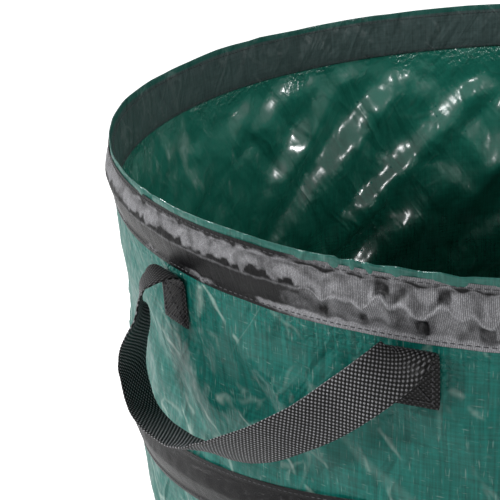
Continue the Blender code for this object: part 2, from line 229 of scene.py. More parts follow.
def woven_cloth(name, tapes, gaps, whitening_and_sheen, mark_amount, roughness, film, painted_light=None):
    """Cloth from three colours, the third for crease marks that are partly painted sheen; the film's weight,
    roughness and IOR; and a colour painted paler near the rim, as painted light.
    """
    mat, tree, shader = new_material(name)
    uv = add(tree, "ShaderNodeUVMap", uv_map="cloth")
    weave = weighted(tree, (lumps(tree, uv, 1.3 * MM, 34 * MM, 3.0), 1.0),
                     (lumps(tree, uv, 30 * MM, 1.3 * MM, 2.0), 0.6))
    tone = add(tree, "ShaderNodeMapRange", {"Value": weave, "From Min": 0.58, "From Max": 1.0})
    upright = add(tree, "ShaderNodeMapRange", {"Value": lumps(tree, uv, 1.1 * MM, 9 * MM, 1.0),
                                               "From Min": 0.64, "From Max": 0.76, "To Max": 0.45})
    level = add(tree, "ShaderNodeMapRange", {"Value": lumps(tree, uv, 6 * MM, 1.1 * MM, 1.0),
                                             "From Min": 0.66, "From Max": 0.78, "To Max": 0.4})
    body = add(tree, "ShaderNodeMix", {0: tone, 6: linear(gaps), 7: linear(tapes)}, data_type="RGBA")
    # Painted light: toward the rim the colour is painted paler, for the light that comes through the upper
    # wall.
    if painted_light:
        up = add(tree, "ShaderNodeSeparateXYZ", {"Vector": uv})
        near_rim = add(tree, "ShaderNodeMapRange", {"Value": up.outputs[1], "From Min": 0.46,
                                                    "From Max": 0.64, "To Max": 0.62},
                       interpolation_type="SMOOTHSTEP")
        body = add(tree, "ShaderNodeMix", {0: near_rim, 6: body.outputs[2], 7: linear(painted_light)},
                   data_type="RGBA")
    thin = weighted(tree, (crease_lines(tree, uv, -44, 66 * MM, 300 * MM, 0.012, 0.0), 1.0),
                    (crease_lines(tree, uv, 36, 60 * MM, 220 * MM, 0.010, 5.7), 0.5))
    broad = weighted(tree, (crease_web(tree, uv, -44, 22 * MM, 76 * MM, 0.075, 9.3), 0.8),
                     (crease_web(tree, uv, -8, 40 * MM, 84 * MM, 0.04, 4.1), 0.6),
                     (crease_web(tree, uv, 30, 36 * MM, 80 * MM, 0.04, 2.7), 0.4))
    handled = add(tree, "ShaderNodeTexNoise", {"Vector": uv, "Scale": 1 / (120 * MM), "Detail": 1.0})
    busy = add(tree, "ShaderNodeMapRange", {"Value": handled, "From Min": 0.36, "From Max": 0.54,
                                            "To Min": 0.25, "To Max": 1.15})
    # Painted sheen: the pale marks are partly stress whitening and partly a painted reflection of the film
    # along its wrinkles.
    pale = weighted(tree, (weighted(tree, (thin, 0.7), (broad, 1.0)), busy), (upright, 1.0), (level, 1.0))
    marks = add(tree, "ShaderNodeMath", {0: pale, 1: mark_amount}, operation="MULTIPLY", use_clamp=True)
    shade = add(tree, "ShaderNodeMix", {0: marks, 6: body.outputs[2], 7: linear(whitening_and_sheen)}, data_type="RGBA")
    tree.links.new(shade.outputs[2], shader.inputs["Base Color"])

    folds = folded_film(tree, uv, 30, 24 * MM, 85 * MM, 2.0)
    cross_folds = folded_film(tree, uv, -42, 30 * MM, 80 * MM, 7.0)
    bead = add(tree, "ShaderNodeTexNoise", {"Vector": uv, "Scale": 1 / (7 * MM), "Detail": 1.0})
    sharp = add(tree, "ShaderNodeTexNoise", {"Vector": uv, "Scale": 1 / (3.6 * MM), "Detail": 2.0,
                                             "Distortion": 0.6})
    drawn = add(tree, "ShaderNodeAttribute", attribute_name="pucker")
    crumpled = weighted(tree, (sharp, drawn.outputs[2]))
    gloss = add(tree, "ShaderNodeMapRange", {"Value": bead, "From Min": 0.3, "From Max": 0.7,
                                             "To Min": roughness - 0.06, "To Max": roughness + 0.12})
    tree.links.new(gloss.outputs[0], shader.inputs["Roughness"])
    fine = add(tree, "ShaderNodeBump", {"Height": weave, "Strength": 0.3, "Distance": 0.15 * MM})
    lines = add(tree, "ShaderNodeBump", {"Height": weighted(tree, (thin, 1.0), (broad, 0.8)), "Strength": 0.8,
                                         "Distance": 0.6 * MM, "Normal": fine})
    height = weighted(tree, (folds, 1.0), (cross_folds, 0.6), (bead, 0.25), (crumpled, 0.55))
    wide = add(tree, "ShaderNodeBump", {"Height": height, "Strength": 1.0, "Distance": 3.0 * MM,
                                        "Normal": lines})
    tree.links.new(wide.outputs[0], shader.inputs["Normal"])
    lump_map = add(tree, "ShaderNodeMapping", {"Vector": uv, "Rotation": (0.0, 0.0, math.radians(30)),
                                               "Scale": (1 / (19 * MM), 1 / (38 * MM), 1.0)})
    lump = add(tree, "ShaderNodeTexNoise", {"Vector": lump_map, "Scale": 1.0, "Detail": 0.6})
    over = add(tree, "ShaderNodeBump", {"Height": weighted(tree, (lump, 1.0), (folds, 0.12), (crumpled, 1.0)),
                                        "Strength": 1.0, "Distance": 4.5 * MM})
    tree.links.new(over.outputs[0], shader.inputs["Coat Normal"])
    shader.inputs["Specular IOR Level"].default_value = 0.12
    for socket, value in zip(("Coat Weight", "Coat Roughness", "Coat IOR"), film):
        shader.inputs[socket].default_value = value
    return mat


# %% [markdown]
# The same cloth is used four times. Outside it is a blue green with marked creases, whose pale marks
# are partly a painted sheen. Inside it is deeper, its film shines harder, and it is painted paler
# toward the rim, as painted light for the light that comes through the upper wall. The hem is greyed
# by folding, and the facing inside the rim by wear.

# %% The four cloths
GREEN_CLOTH = woven_cloth("laminated_woven_polyethylene", "#0f6a60", "#0a4c45", "#a6bab1", 0.55, 0.42,
                          (0.22, 0.13, 1.5))
# The inside's paler colour toward the rim is painted light.
INNER_CLOTH = woven_cloth("laminated_woven_polyethylene_inside", "#0a5645", "#04382d", "#6f8f87", 0.12, 0.42,
                          (1.0, 0.20, 2.0), painted_light="#2a8c79")
HEM_CLOTH = woven_cloth("folded_laminated_hem", "#2a665c", "#1f544c", "#93aaa4", 0.34, 0.36, (0.4, 0.12, 1.5))
FACING_CLOTH = woven_cloth("rubbed_laminated_facing", "#4b5d5c", "#3e4d4c", "#7d8886", 0.35, 0.36,
                           (0.3, 0.2, 1.5))
print("cloth nodes:", len(GREEN_CLOTH.node_tree.nodes))

# %% [markdown]
# ** Satin weave tape.** The tape is black polyester with a fine slanting rib. The real threads are
# 0.3 mm apart, which is too fine to show, so they are drawn at 0.8 mm. The satin's sheen is painted:
# a painted highlight turns the crowns of the threads a pale grey, so it still reads as woven. How
# strong it is at each point is kept on the mesh, and noise makes the patches' edges ragged.

# %% Tape material
def satin_tape(name, base, thread_colour, sheen_colour):
    """Fine black tape: rib, thread crowns, short puckers, and a painted highlight on the crowns, as strong as
    the mesh value asks.
    """
    mat, tree, shader = new_material(name)
    uv = add(tree, "ShaderNodeUVMap", uv_map="cloth")
    turn = add(tree, "ShaderNodeMapping", {"Vector": uv, "Rotation": (0.0, 0.0, math.radians(8))})
    rib = add(tree, "ShaderNodeTexWave", {"Vector": turn, "Scale": FULL_TURN / (0.8 * MM) / 20,
                                          "Distortion": 3.0, "Detail": 2.0, "Detail Scale": 4.0})
    speck = add(tree, "ShaderNodeTexNoise", {"Vector": uv, "Scale": 1 / (0.7 * MM), "Detail": 1.0})
    thread = weighted(tree, (rib.outputs[1], speck))
    lift = add(tree, "ShaderNodeMapRange", {"Value": thread, "From Min": 0.15, "From Max": 0.6})
    # Painted highlight: the tape's sheen is painted pale grey on the thread crowns, as strongly as the value
    # kept on the mesh asks.
    painted_sheen = add(tree, "ShaderNodeAttribute", attribute_name="painted_sheen")
    patch = add(tree, "ShaderNodeTexNoise", {"Vector": uv, "Scale": 1 / (4.5 * MM), "Detail": 3.0})
    painted_light = add(tree, "ShaderNodeMapRange", {"Value": weighted(tree, (painted_sheen.outputs[2], 1.0), (patch, 0.5)),
                                              "From Min": 0.42, "From Max": 1.05})
    crowns = add(tree, "ShaderNodeMapRange", {"Value": lift, "To Min": 0.35, "To Max": 1.0})
    black = add(tree, "ShaderNodeMix", {0: lift, 6: linear(base), 7: linear(thread_colour)}, data_type="RGBA")
    shade = add(tree, "ShaderNodeMix", {0: weighted(tree, (painted_light, crowns)), 6: black.outputs[2],
                                        7: linear(sheen_colour)}, data_type="RGBA")
    tree.links.new(shade.outputs[2], shader.inputs["Base Color"])
    drawn = add(tree, "ShaderNodeMapping", {"Vector": uv, "Scale": (1 / (3.2 * MM), 1 / (13 * MM), 1.0)})
    pucker = add(tree, "ShaderNodeTexNoise", {"Vector": drawn, "Scale": 1.0, "Detail": 3.0,
                                              "Distortion": 0.4})
    fine = add(tree, "ShaderNodeBump", {"Height": thread, "Strength": 0.5, "Distance": 0.25 * MM})
    wide = add(tree, "ShaderNodeBump", {"Height": pucker, "Strength": 0.6, "Distance": 0.7 * MM,
                                        "Normal": fine})
    tree.links.new(wide.outputs[0], shader.inputs["Normal"])
    gloss = add(tree, "ShaderNodeMapRange", {"Value": lift, "To Min": 0.40, "To Max": 0.28})
    tree.links.new(gloss.outputs[0], shader.inputs["Roughness"])
    shader.inputs["Specular IOR Level"].default_value = 0.2
    return mat


# Its last colour is the pale grey of the painted highlight.
BLACK_TAPE = satin_tape("satin_weave_polyester_tape", "#040405", "#121215", "#b2b2b6")
print("tape nodes:", len(BLACK_TAPE.node_tree.nodes))

# %% [markdown]
# ** Polypropylene webbing.** The handle is a coarse basket weave. Each crossing stands up as a crown
# that catches the light, with dark gaps between. The crowns are real geometry on the strap, and the
# material paints their tops pale as a painted highlight, keeps the gaps black and roughens the yarn.
# Near the sewn ends the painted highlight is turned down, as painted shade for the ends that lie in
# the loop's shadow, by a value on its mesh. The basket is drawn at 2.5 mm, about twice the real
# pitch, so that single crowns show.

# %% Webbing material
WEAVE_PITCH = 2.5 * MM


def webbing_yarn(name):
    """Black yarn: a painted highlight on the crowns in basket order, black in the gaps."""
    mat, tree, shader = new_material(name)
    uv = add(tree, "ShaderNodeUVMap", uv_map="cloth")
    place = add(tree, "ShaderNodeSeparateXYZ", {"Vector": uv})
    waves = []
    for axis in (0, 1):
        turn = weighted(tree, (place.outputs[axis], FULL_TURN / WEAVE_PITCH))
        waves.append(add(tree, "ShaderNodeMath", {0: turn}, operation="COSINE"))
    crown = add(tree, "ShaderNodeMapRange", {"Value": weighted(tree, tuple(waves)), "From Max": 0.9})
    hair = add(tree, "ShaderNodeTexNoise", {"Vector": uv, "Scale": 1 / (0.6 * MM), "Detail": 2.0})
    yarn = add(tree, "ShaderNodeMapRange", {"Value": hair, "From Min": 0.25, "From Max": 0.7, "To Min": 0.35})
    clear_of_seam = add(tree, "ShaderNodeAttribute", attribute_name="clear_of_seam")
    lit = weighted(tree, (weighted(tree, (crown, yarn)), clear_of_seam.outputs[2]))
    # Painted highlight: the crown tops are painted pale, less near the sewn ends as painted shade.
    shade = add(tree, "ShaderNodeMix", {0: lit, 6: linear("#020202"), 7: linear("#b8b8bc")}, data_type="RGBA")
    tree.links.new(shade.outputs[2], shader.inputs["Base Color"])
    high = add(tree, "ShaderNodeBump", {"Height": crown, "Strength": 0.8, "Distance": 0.5 * MM})
    fine = add(tree, "ShaderNodeBump", {"Height": hair, "Strength": 0.3, "Distance": 0.15 * MM,
                                        "Normal": high})
    tree.links.new(fine.outputs[0], shader.inputs["Normal"])
    shader.inputs["Roughness"].default_value = 0.4
    shader.inputs["Specular IOR Level"].default_value = 0.2
    return mat


WEBBING = webbing_yarn("basket_weave_polypropylene")
print("webbing nodes:", len(WEBBING.node_tree.nodes))

# %% [markdown]
# **Thread and spring wire.** The bonded polyester thread is matt and near black. The spring is drawn
# steel wire: a bare metal with a faint grain from the die, so it keeps a metal's default IOR. Both
# differ only in colour, roughness and metal, so one function makes them.

# %% Thread and wire materials
def drawn_strand(name, colour, roughness, metallic=0.0):
    """Thread or wire, with a faint grain."""
    mat, tree, shader = new_material(name)
    place = add(tree, "ShaderNodeTexCoord").outputs["Object"]
    grit = add(tree, "ShaderNodeTexNoise", {"Vector": place, "Scale": 1 / (1.2 * MM), "Detail": 2.0})
    shade = add(tree, "ShaderNodeMix", {0: grit, 6: linear(colour), 7: linear("#5a5a5e")}, data_type="RGBA")
    tree.links.new(shade.outputs[2], shader.inputs["Base Color"])
    bump = add(tree, "ShaderNodeBump", {"Height": grit, "Strength": 0.2, "Distance": 0.1 * MM})
    tree.links.new(bump.outputs[0], shader.inputs["Normal"])
    shader.inputs["Roughness"].default_value = roughness
    shader.inputs["Metallic"].default_value = metallic
    return mat


THREAD = drawn_strand("bonded_polyester_thread", "#0d0d0f", 0.75)
SPRING_STEEL = drawn_strand("drawn_spring_steel", "#9a9a9c", 0.32, 1.0)
print("materials:", len(bpy.data.materials))

# %% [markdown]
# Every cloth piece is a closed skin over a grid of points that runs round in each row, so it has a
# real thickness. It is closed from the last row to the first, or by a face at each end. The skin
# carries a UV map in metres, which is what the weave patterns read, and it is turned outward by the
# sign of its volume.

# %% Skin helper
def skin(name, points, across, along, closed, material):
    """A quad skin over points[row][column]; across and along are the UV marks in metres."""
    rows, columns = points.shape[:2]
    i, j = np.meshgrid(np.arange(rows if closed else rows - 1), np.arange(columns), indexing="ij")
    i2, j2 = (i + 1) % rows, (j + 1) % columns
    quads = np.stack([i * columns + j, i * columns + j2, i2 * columns + j2, i2 * columns + j], -1)
    quads = quads.reshape(-1, 4)
    faces = quads.tolist()
    if not closed:
        faces.append(list(range(columns))[::-1])
        faces.append(list(range((rows - 1) * columns, rows * columns)))
    mesh = bpy.data.meshes.new(name)
    corners = points.reshape(-1, 3)
    mesh.from_pydata(corners.tolist(), [], faces)
    u, v = np.asarray(across), np.asarray(along)
    grid = np.stack([np.stack([u[j], v[i]], -1), np.stack([u[j + 1], v[i]], -1),
                     np.stack([u[j + 1], v[i + 1]], -1), np.stack([u[j], v[i + 1]], -1)], 2)
    marks = np.zeros((len(mesh.loops), 2))
    marks[:grid.size // 2] = grid.reshape(-1, 2)
    mesh.uv_layers.new(name="cloth").data.foreach_set("uv", marks.ravel())
    a, b, c, d = (corners[quads[:, k]] for k in range(4))
    if np.einsum("ij,ij->i", a, np.cross(b, c) + np.cross(c, d)).sum() < 0:
        mesh.flip_normals()
    mesh.shade_smooth()
    mesh.set_sharp_from_angle(angle=math.radians(60))
    mesh.materials.append(material)
    obj = bpy.data.objects.new(name, mesh)
    bpy.context.scene.collection.objects.link(obj)
    print(name, len(mesh.polygons), "faces")
    return obj


def mark_points(obj, name, values):
    """Keeps a value at each point of a piece, for its material to read."""
    layer = obj.data.attributes.new(name, "FLOAT", "POINT")
    layer.data.foreach_set("value", np.asarray(values, dtype=np.float32).ravel())


def line_rows(obj, material, first, last, columns):
    """Gives the face rows from first to last a second material."""
    obj.data.materials.append(material)
    row = np.arange(len(obj.data.polygons)) // columns
    obj.data.polygons.foreach_set("material_index", ((row >= first) & (row <= last)).astype(np.int32))


# %% [markdown]
# The pieces are worked out as heights over the bag's round: a radius, a height and an angle. Folds
# and dents are smooth noise, with lumps of a real size, read on the round so that it has no seam.

# %% Shape helpers
def round_points(radius, height, angle):
    """Points about the bag's axis; angle 0 is the front of the bag, and it grows anticlockwise."""
    radius, height, angle = np.broadcast_arrays(radius, height, angle)
    return np.stack([radius * np.sin(angle), -radius * np.cos(angle), height], -1)


def from_front(angle):
    """The angle from the front handle, below 0 on its left."""
    return np.where(angle > math.pi, angle - FULL_TURN, angle)


def smooth(low, high, value):
    """0 below low, 1 above high, and a smooth step between."""
    t = np.clip((value - low) / (high - low), 0.0, 1.0)
    return t * t * (3 - 2 * t)


def grain(angle, height, wide, tall, lean=0.0, seed=0.0):
    """Smooth noise on the bag's round, in lumps wide by tall, leaning by a share of their height."""
    angle, height = np.broadcast_arrays(angle, height)
    turned = angle + lean * height / RIM_R
    x = np.sin(turned) * RIM_R / wide + seed * 5.1
    y = np.cos(turned) * RIM_R / wide
    z = height / tall + seed * 17.3
    flat = [noise.noise(Vector(p)) for p in zip(x.ravel(), y.ravel(), z.ravel())]
    return np.array(flat).reshape(angle.shape)


def ridge(value):
    """Turns smooth noise into sharp ridges at its zero line."""
    return 1.0 - np.minimum(1.0, np.abs(value) * 4.0)


# %% [markdown]
# **The wall.** The wire spiral pushes the cloth out and the cloth between the turns is pulled in, so
# the tube is a little waisted between sleeve and tape. It is never smooth: soft dents, slanting
# tension folds that run between the coils, and sharp creases left from being packed flat. The back
# hangs slacker, in deep folds that catch the light inside the bag. A cloth simulation could find such
# folds, but they would move with each change, so they are built from slanted noise whose lumps have
# the real folds' sizes, and faded out under the sleeve and the tapes. Five long folds that start at
# the handle's ends and at the tape are laid along lines of their own.

# %% Where the wall is held
def spiral_height(angle):
    """The sleeve's middle heights at an angle from the front, for each turn of the spiral."""
    first = np.mod(angle - SPIRAL_START - math.pi / 2, FULL_TURN)
    return [np.where(t <= SPIRAL_TURN, SPIRAL_LOW + SPIRAL_SLOPE * t, 9.0)
            for t in (first, first + FULL_TURN)]


def free_distance(angle, height):
    """How far a point of the wall is from the nearest sleeve or tape that holds it."""
    held_at = spiral_height(angle) + [RIM_TAPE[0], BASE_TAPE[1]]
    return np.minimum.reduce([np.abs(height - h) for h in held_at])


# %% Long folds: places as (degrees, mm up), then how tall and how wide in mm
FOLDS = (
    ((-13.0, 612), (-13.4, 590), (-10.8, 581), (-5.8, 572), (-2.0, 566), 2.6, 9),
    ((-17.8, 606), (-21.0, 575), (-27.0, 540), (-33.0, 520), (-38.0, 505), 1.5, 12),
    ((0.8, 640), (3.8, 631), (5.2, 618), (6.5, 600), (8.0, 585), 1.4, 6),
    ((19.0, 612), (21.0, 600), (25.0, 588), (31.0, 574), (38.0, 560), 1.8, 10),
    ((-30.0, 640), (-27.0, 615), (-25.5, 590), (-24.0, 565), (-23.0, 540), 1.2, 8),
)


def fold_relief(angle, height):
    """The long folds, as ridges that rise and fade along their lines."""
    relief = np.zeros(np.broadcast(angle, height).shape)
    x = RIM_R * from_front(angle)
    for *places, tall, wide in FOLDS:
        path = [(RIM_R * math.radians(a), h * MM) for a, h in places]
        nearest = np.full(relief.shape, 9.0)
        share = np.zeros(relief.shape)
        for index, ((x0, z0), (x1, z1)) in enumerate(zip(path, path[1:])):
            dx, dz = x1 - x0, z1 - z0
            t = np.clip(((x - x0) * dx + (height - z0) * dz) / (dx * dx + dz * dz), 0.0, 1.0)
            gap = np.hypot(x - x0 - t * dx, height - z0 - t * dz)
            share = np.where(gap < nearest, (index + t) / (len(path) - 1), share)
            nearest = np.minimum(nearest, gap)
        fade = np.sin(np.pi * np.clip(share * 0.9 + 0.1, 0, 1))
        relief += tall * MM * np.exp(-(nearest / (wide * MM)) ** 2) * fade
    return relief


# %% Wall relief
def wall_relief(angle, height):
    """How far the cloth stands out from its cylinder."""
    free = free_distance(angle, height)
    clear_of_seam = smooth(14 * MM, 45 * MM, free)
    held = smooth(2 * MM, 20 * MM, free)
    back = 1 - smooth(-0.25, 0.5, np.cos(angle))
    waist = -5.5 * MM * (1 - np.exp(-(free / (70 * MM)) ** 2))
    dents = 4.2 * MM * grain(angle, height, 95 * MM, 120 * MM, 0.5, 1.0)
    tension = 3.0 * MM * grain(angle, height, 28 * MM, 80 * MM, 0.9, 2.0)
    cross = 2.0 * MM * grain(angle, height, 34 * MM, 46 * MM, -0.8, 3.0)
    crease = 1.5 * MM * ridge(grain(angle, height, 60 * MM, 85 * MM, 0.9, 4.0)) ** 2
    crush = 0.8 * MM * ridge(grain(angle, height, 34 * MM, 44 * MM, -0.6, 5.0)) ** 2
    deep = 11.0 * MM * back * (grain(angle, height, 62 * MM, 110 * MM, 1.0, 6.0) - 0.25)
    slack = 1.0 + 1.1 * back
    relief = waist + clear_of_seam * (dents + crease + deep) + held * slack * (tension + cross + crush)
    relief += held * fold_relief(angle, height)
    return np.minimum(relief, 0.1 * MM + 3.0 * MM * clear_of_seam)


# %% Wall
WALL_FOOT, WALL_HEAD = BASE_TAPE[1] - 1.5 * MM, RIM_TAPE[0] + 1.5 * MM
FINE_FROM = 400 * MM
wall_angles = np.linspace(0.0, FULL_TURN, 401)
wall_heights = np.concatenate([np.linspace(WALL_FOOT, FINE_FROM, 46)[:-1],
                               np.linspace(FINE_FROM, WALL_HEAD, 62)])
angle_grid, height_grid = np.meshgrid(wall_angles[:-1], wall_heights)
wall_out = CLOTH_R + wall_relief(angle_grid, height_grid)
wall_points = np.concatenate([round_points(wall_out, height_grid, angle_grid),
                              round_points(wall_out - CLOTH_THICK, height_grid, angle_grid)[::-1]])
wall_marks = np.concatenate([wall_heights, wall_heights[::-1], wall_heights[:1]])
wall = skin("woven_wall", wall_points, wall_angles * RIM_R, wall_marks, True, GREEN_CLOTH)
line_rows(wall, INNER_CLOTH, len(wall_heights), 2 * len(wall_heights) - 1, len(wall_angles) - 1)


# %% [markdown]
# The film puckers where a seam draws it up: under the rim tape and round the handle's sewn ends. How
# strongly is kept on the mesh, as the cloth's material can't know where the seams are.

# %% Pucker of the wall's film
def film_pucker(angle, height):
    """From 0, where the film lies smooth, to 1 beside a seam."""
    tape_gap = np.abs(height - RIM_TAPE[0])
    end_gap = np.minimum.reduce([np.hypot((from_front(angle) - math.radians(end)) * RIM_R, height - 622 * MM)
                                 for end in (-END_ANGLE, END_ANGLE)])
    patchy = np.clip(0.5 + 2.0 * grain(angle, height, 26 * MM, 20 * MM, 0.0, 13.0), 0.0, 1.0)
    by_tape = np.exp(-(tape_gap / (13 * MM)) ** 2)
    by_end = 0.8 * np.exp(-(end_gap / (26 * MM)) ** 2)
    return np.maximum(by_tape, by_end) * patchy


pucker = film_pucker(angle_grid, height_grid)
mark_points(wall, "pucker", np.concatenate([pucker, pucker[::-1]]))
print("mean pucker:", round(float(pucker.mean()), 3))

# %% [markdown]
# **Rim fold.** At the rim the cloth is turned over: it comes up behind the tape, folds at the top as
# a hem about 6 mm tall and runs down the inside as a facing to the tape's lower seam. A fold in
# laminated cloth is stiff and takes small kinks, so its edge is a run of short straight facets, not
# a smooth circle. A few kinks beside the handle are set where the bag has its sharpest ones.

# %% Kinks
RIM_KINKS = ((-21.5, 0.8), (-19.8, -1.4), (-18.6, 0.4), (7.0, 0.2), (8.0, 1.5), (8.7, -0.9),
             (9.8, 1.2), (10.5, -1.2), (11.4, 1.3), (12.6, -0.6), (14.0, 0.9), (15.8, -0.7),
             (18.0, 0.6), (21.0, -0.4), (25.0, 1.0), (27.0, -0.8))


def facets(angle, spacing, seed, marks=()):
    """A random value from -1 to 1 at uneven knots round the rim, straight between them."""
    maker = np.random.default_rng(seed)
    count = int(FULL_TURN * RIM_R / spacing)
    knots = (np.arange(count) + maker.uniform(-0.35, 0.35, count)) * FULL_TURN / count
    values = maker.uniform(-1.0, 1.0, count)
    for at, value in marks:
        knots = np.append(knots, math.radians(at) % FULL_TURN)
        values = np.append(values, value)
    order = np.argsort(knots)
    return np.interp(np.mod(angle, FULL_TURN), knots[order], values[order], period=FULL_TURN)


# %% Rim fold: rows of out from the cloth and up from the top, both in mm, and share of the kinks
RIM_SECTION = np.array([
    (0.0, -34.0, 0.0), (0.0, -20.0, 0.0), (0.0, -9.0, 0.1), (0.1, -6.0, 0.5), (0.25, -4.0, 0.8),
    (0.25, -1.0, 1.0), (0.15, -0.3, 1.0), (-0.1, 0.0, 1.0), (-0.45, -0.1, 1.0), (-0.7, -0.8, 1.0),
    (-0.9, -4.0, 0.8), (-1.3, -7.0, 0.5), (-1.9, -12.0, 0.4), (-2.2, -20.0, 0.6), (-2.2, -28.0, 0.5),
    (-2.1, -34.2, 0.3), (-1.7, -35.4, 0.2), (-1.0, -35.6, 0.1)])
FACING_ROWS = (10, 16)
rim_angles = np.linspace(0.0, FULL_TURN, 1001)
section_out, section_up, kink = (RIM_SECTION * (MM, MM, 1.0)).T[:, :, None]
rim_grid = np.tile(rim_angles[:-1], (len(RIM_SECTION), 1))
rim_out = CLOTH_R + section_out + kink * (0.7 * MM * facets(rim_grid, 26 * MM, 3, RIM_KINKS)
                                          + 0.5 * MM * grain(rim_grid, 0.0, 30 * MM, 1.0, 0, 7.0))
rim_up = TOP + section_up + kink * (0.75 * MM * facets(rim_grid, 30 * MM, 8, RIM_KINKS) - 0.75 * MM)
on_facing = section_out < -1.95 * MM
rim_out -= on_facing * 0.9 * MM * np.abs(grain(rim_grid, rim_up, 22 * MM, 30 * MM, 0.3, 9.0))
outline = np.hstack([section_out, section_up])
steps = np.hypot(*np.diff(np.vstack([outline, outline[:1]]), axis=0).T)
rim_marks = np.concatenate([[0.0], np.cumsum(steps)])
rim_fold = skin("rim_fold", round_points(rim_out, rim_up, rim_grid), rim_angles * RIM_R, rim_marks, True,
                HEM_CLOTH)
line_rows(rim_fold, FACING_CLOTH, *FACING_ROWS, len(rim_angles) - 1)

# %% [markdown]
# **Base.** The base is a disc of the same cloth, sewn to the wall's foot with the same kind of hem.
# It lies on the ground, so its underside stays flat and only the inside shows a few soft dents. The
# weave runs straight across a disc, so its UV map is laid from above instead of round it.

# %% Base panel and base fold
FLOOR_R = 278.2 * MM
disc_r = np.concatenate([[0.02], np.linspace(0.1, 1.0, 30)]) * FLOOR_R
disc_angles = np.linspace(0.0, FULL_TURN, 241)
disc_grid, disc_r_grid = np.meshgrid(disc_angles[:-1], disc_r)
flat_disc = round_points(disc_r_grid, 0.0, disc_grid)
dent = np.array([noise.noise(Vector((x, -y, 0.0)) / (55 * MM)) for x, y, _ in flat_disc.reshape(-1, 3)])
inside_seam = 1 - smooth(0.9, 1.0, disc_r_grid / FLOOR_R)
lift = 1.2 * MM + 2.2 * MM * np.abs(dent.reshape(disc_grid.shape)) * inside_seam
disc_points = np.concatenate([round_points(disc_r_grid, lift, disc_grid), flat_disc[::-1]])
disc_marks = np.concatenate([disc_r, disc_r[::-1]])
base_panel = skin("base_panel_cloth", disc_points, disc_angles * RIM_R, disc_marks, False, GREEN_CLOTH)
corner_of = np.empty(len(base_panel.data.loops), dtype=np.int32)
base_panel.data.loops.foreach_get("vertex_index", corner_of)
from_above = disc_points.reshape(-1, 3)[corner_of, :2]
base_panel.data.uv_layers["cloth"].data.foreach_set("uv", from_above.astype(np.float32).ravel())
foot_out = CLOTH_R + section_out + 0.25 * MM * kink * facets(rim_grid, 30 * MM, 5)
base_fold = skin("base_fold", round_points(foot_out, -section_up, rim_grid), rim_angles * RIM_R, rim_marks,
                 True, HEM_CLOTH)

# %% [markdown]
# **Tapes.** Each tape is sewn down along two lips and stretched over the wire between them. Where
# the seam has drawn up, the tape puckers: the crest over the wire wanders, and short dents run from
# it to the lips. Elsewhere it is smooth. The relief is worked out along the tape and down its side,
# and it never sinks into the wire.

# %% Tape relief
def crest_wave(along, crumple, seed):
    """How far the crest over the wire wanders, from -1 to 1."""
    flat = [noise.noise(Vector((a / (9.5 * MM), 0.0, seed + 1.0))) for a in along.ravel()]
    return np.clip(np.array(flat).reshape(along.shape) * 2.4, -1.0, 1.0) * crumple


def tape_relief(along, side, crumple, tall, seed):
    """Share down the tape and height over the cloth; side runs -1 (top edge) through 0 (crest) to 1."""
    def ripple(size, tall_lump, shift):
        """Noise along the tape with lumps of a size in metres."""
        flat = [noise.noise(Vector((a / size, b * tall_lump, shift + seed)))
                for a, b in zip(along.ravel(), side.ravel())]
        return np.array(flat).reshape(side.shape)

    wave = crest_wave(along, crumple, seed)
    middle = 0.46 + 0.11 * wave
    lip = TAPE_LIP / tall
    above = side < 0
    share = np.where(above, middle * (1 + side), middle + (1 - middle) * side)
    climb = np.where(above, (share - lip) / (middle - lip), (1 - lip - share) / (1 - lip - middle))
    climb = np.clip(climb, 0.0, 1.0)
    bulge = BULGE * (0.55 * np.sin(climb * np.pi / 2) + 0.45 * climb + 0.12 * crumple * climb ** 6)
    away = np.maximum(np.where(above, -wave, wave), 0.0)
    pocket = -3.0 * MM * away ** 2.2 * np.sin(np.pi * climb) ** 1.5
    pucker = ripple(6 * MM, 1.2, 2.0) * (0.25 + 1.0 * crumple) * MM
    soft = ripple(26 * MM, 0.8, 4.0) * (0.35 + 0.9 * crumple) * MM
    drawn = 0.8 * MM * crumple * ridge(ripple(11 * MM, 0.5, 6.0)) ** 2
    swell = np.sin(np.pi * climb * 0.5 + 0.3) * (climb > 0) * np.minimum(climb * 4, 1)
    edge = np.clip(np.where(above, share, 1 - share) / lip, 0, 1)
    frill = 0.35 * MM * ripple(5 * MM, 0.6, 8.0) * (climb <= 0) * crumple * edge
    relief = bulge + swell * (pucker + soft + drawn) + pocket + frill
    aside = np.clip(np.abs(share - 0.5) * tall / (1.8 * MM), 0.0, 1.0)
    over_wire = np.where(aside < 1.0, 1.45 * MM + 1.8 * MM * np.sqrt(1 - aside ** 2), 0.0)
    relief = np.maximum(relief, over_wire * smooth(0.0, 1.2 * MM, bulge))
    return share, np.maximum(relief, 0.15 * MM)


# %% [markdown]
# The rim tape is drawn up right of the handle's middle and smooth left of it. Its satin sheen is
# painted into the colour: a painted highlight lies on the upper side, on the crest and along the lower
# lip, and all over right of the handle's middle and wherever the tape is drawn up, while the hollows
# beside the crest keep their black as painted shade. The base tape is drawn up a little, and its
# upper side, crest and lower lip get the same painted highlight.

# %% Where the tape is drawn up and where its highlight is painted
SIDES = np.concatenate([[-1.0, -0.94, -0.86, -0.76, -0.72], np.linspace(-0.66, -0.12, 7), [-0.05, 0.0, 0.05],
                        np.linspace(0.12, 0.66, 7), [0.72, 0.76, 0.86, 0.94, 1.0]])


def crumple_at(angle):
    """Where the rim tape is drawn up: strong right of the handle's middle, weak left of it."""
    degrees = np.degrees(from_front(angle))
    front = smooth(1.0, 11.0, degrees) * (1 - smooth(34.0, 50.0, degrees))
    rest = np.clip(0.45 + 1.2 * grain(angle, 0.0, 160 * MM, 1.0, 0, 11.0), 0.05, 1.0)
    near = 1 - smooth(50.0, 70.0, np.abs(degrees))
    return front * near + rest * (1 - near) + 0.06


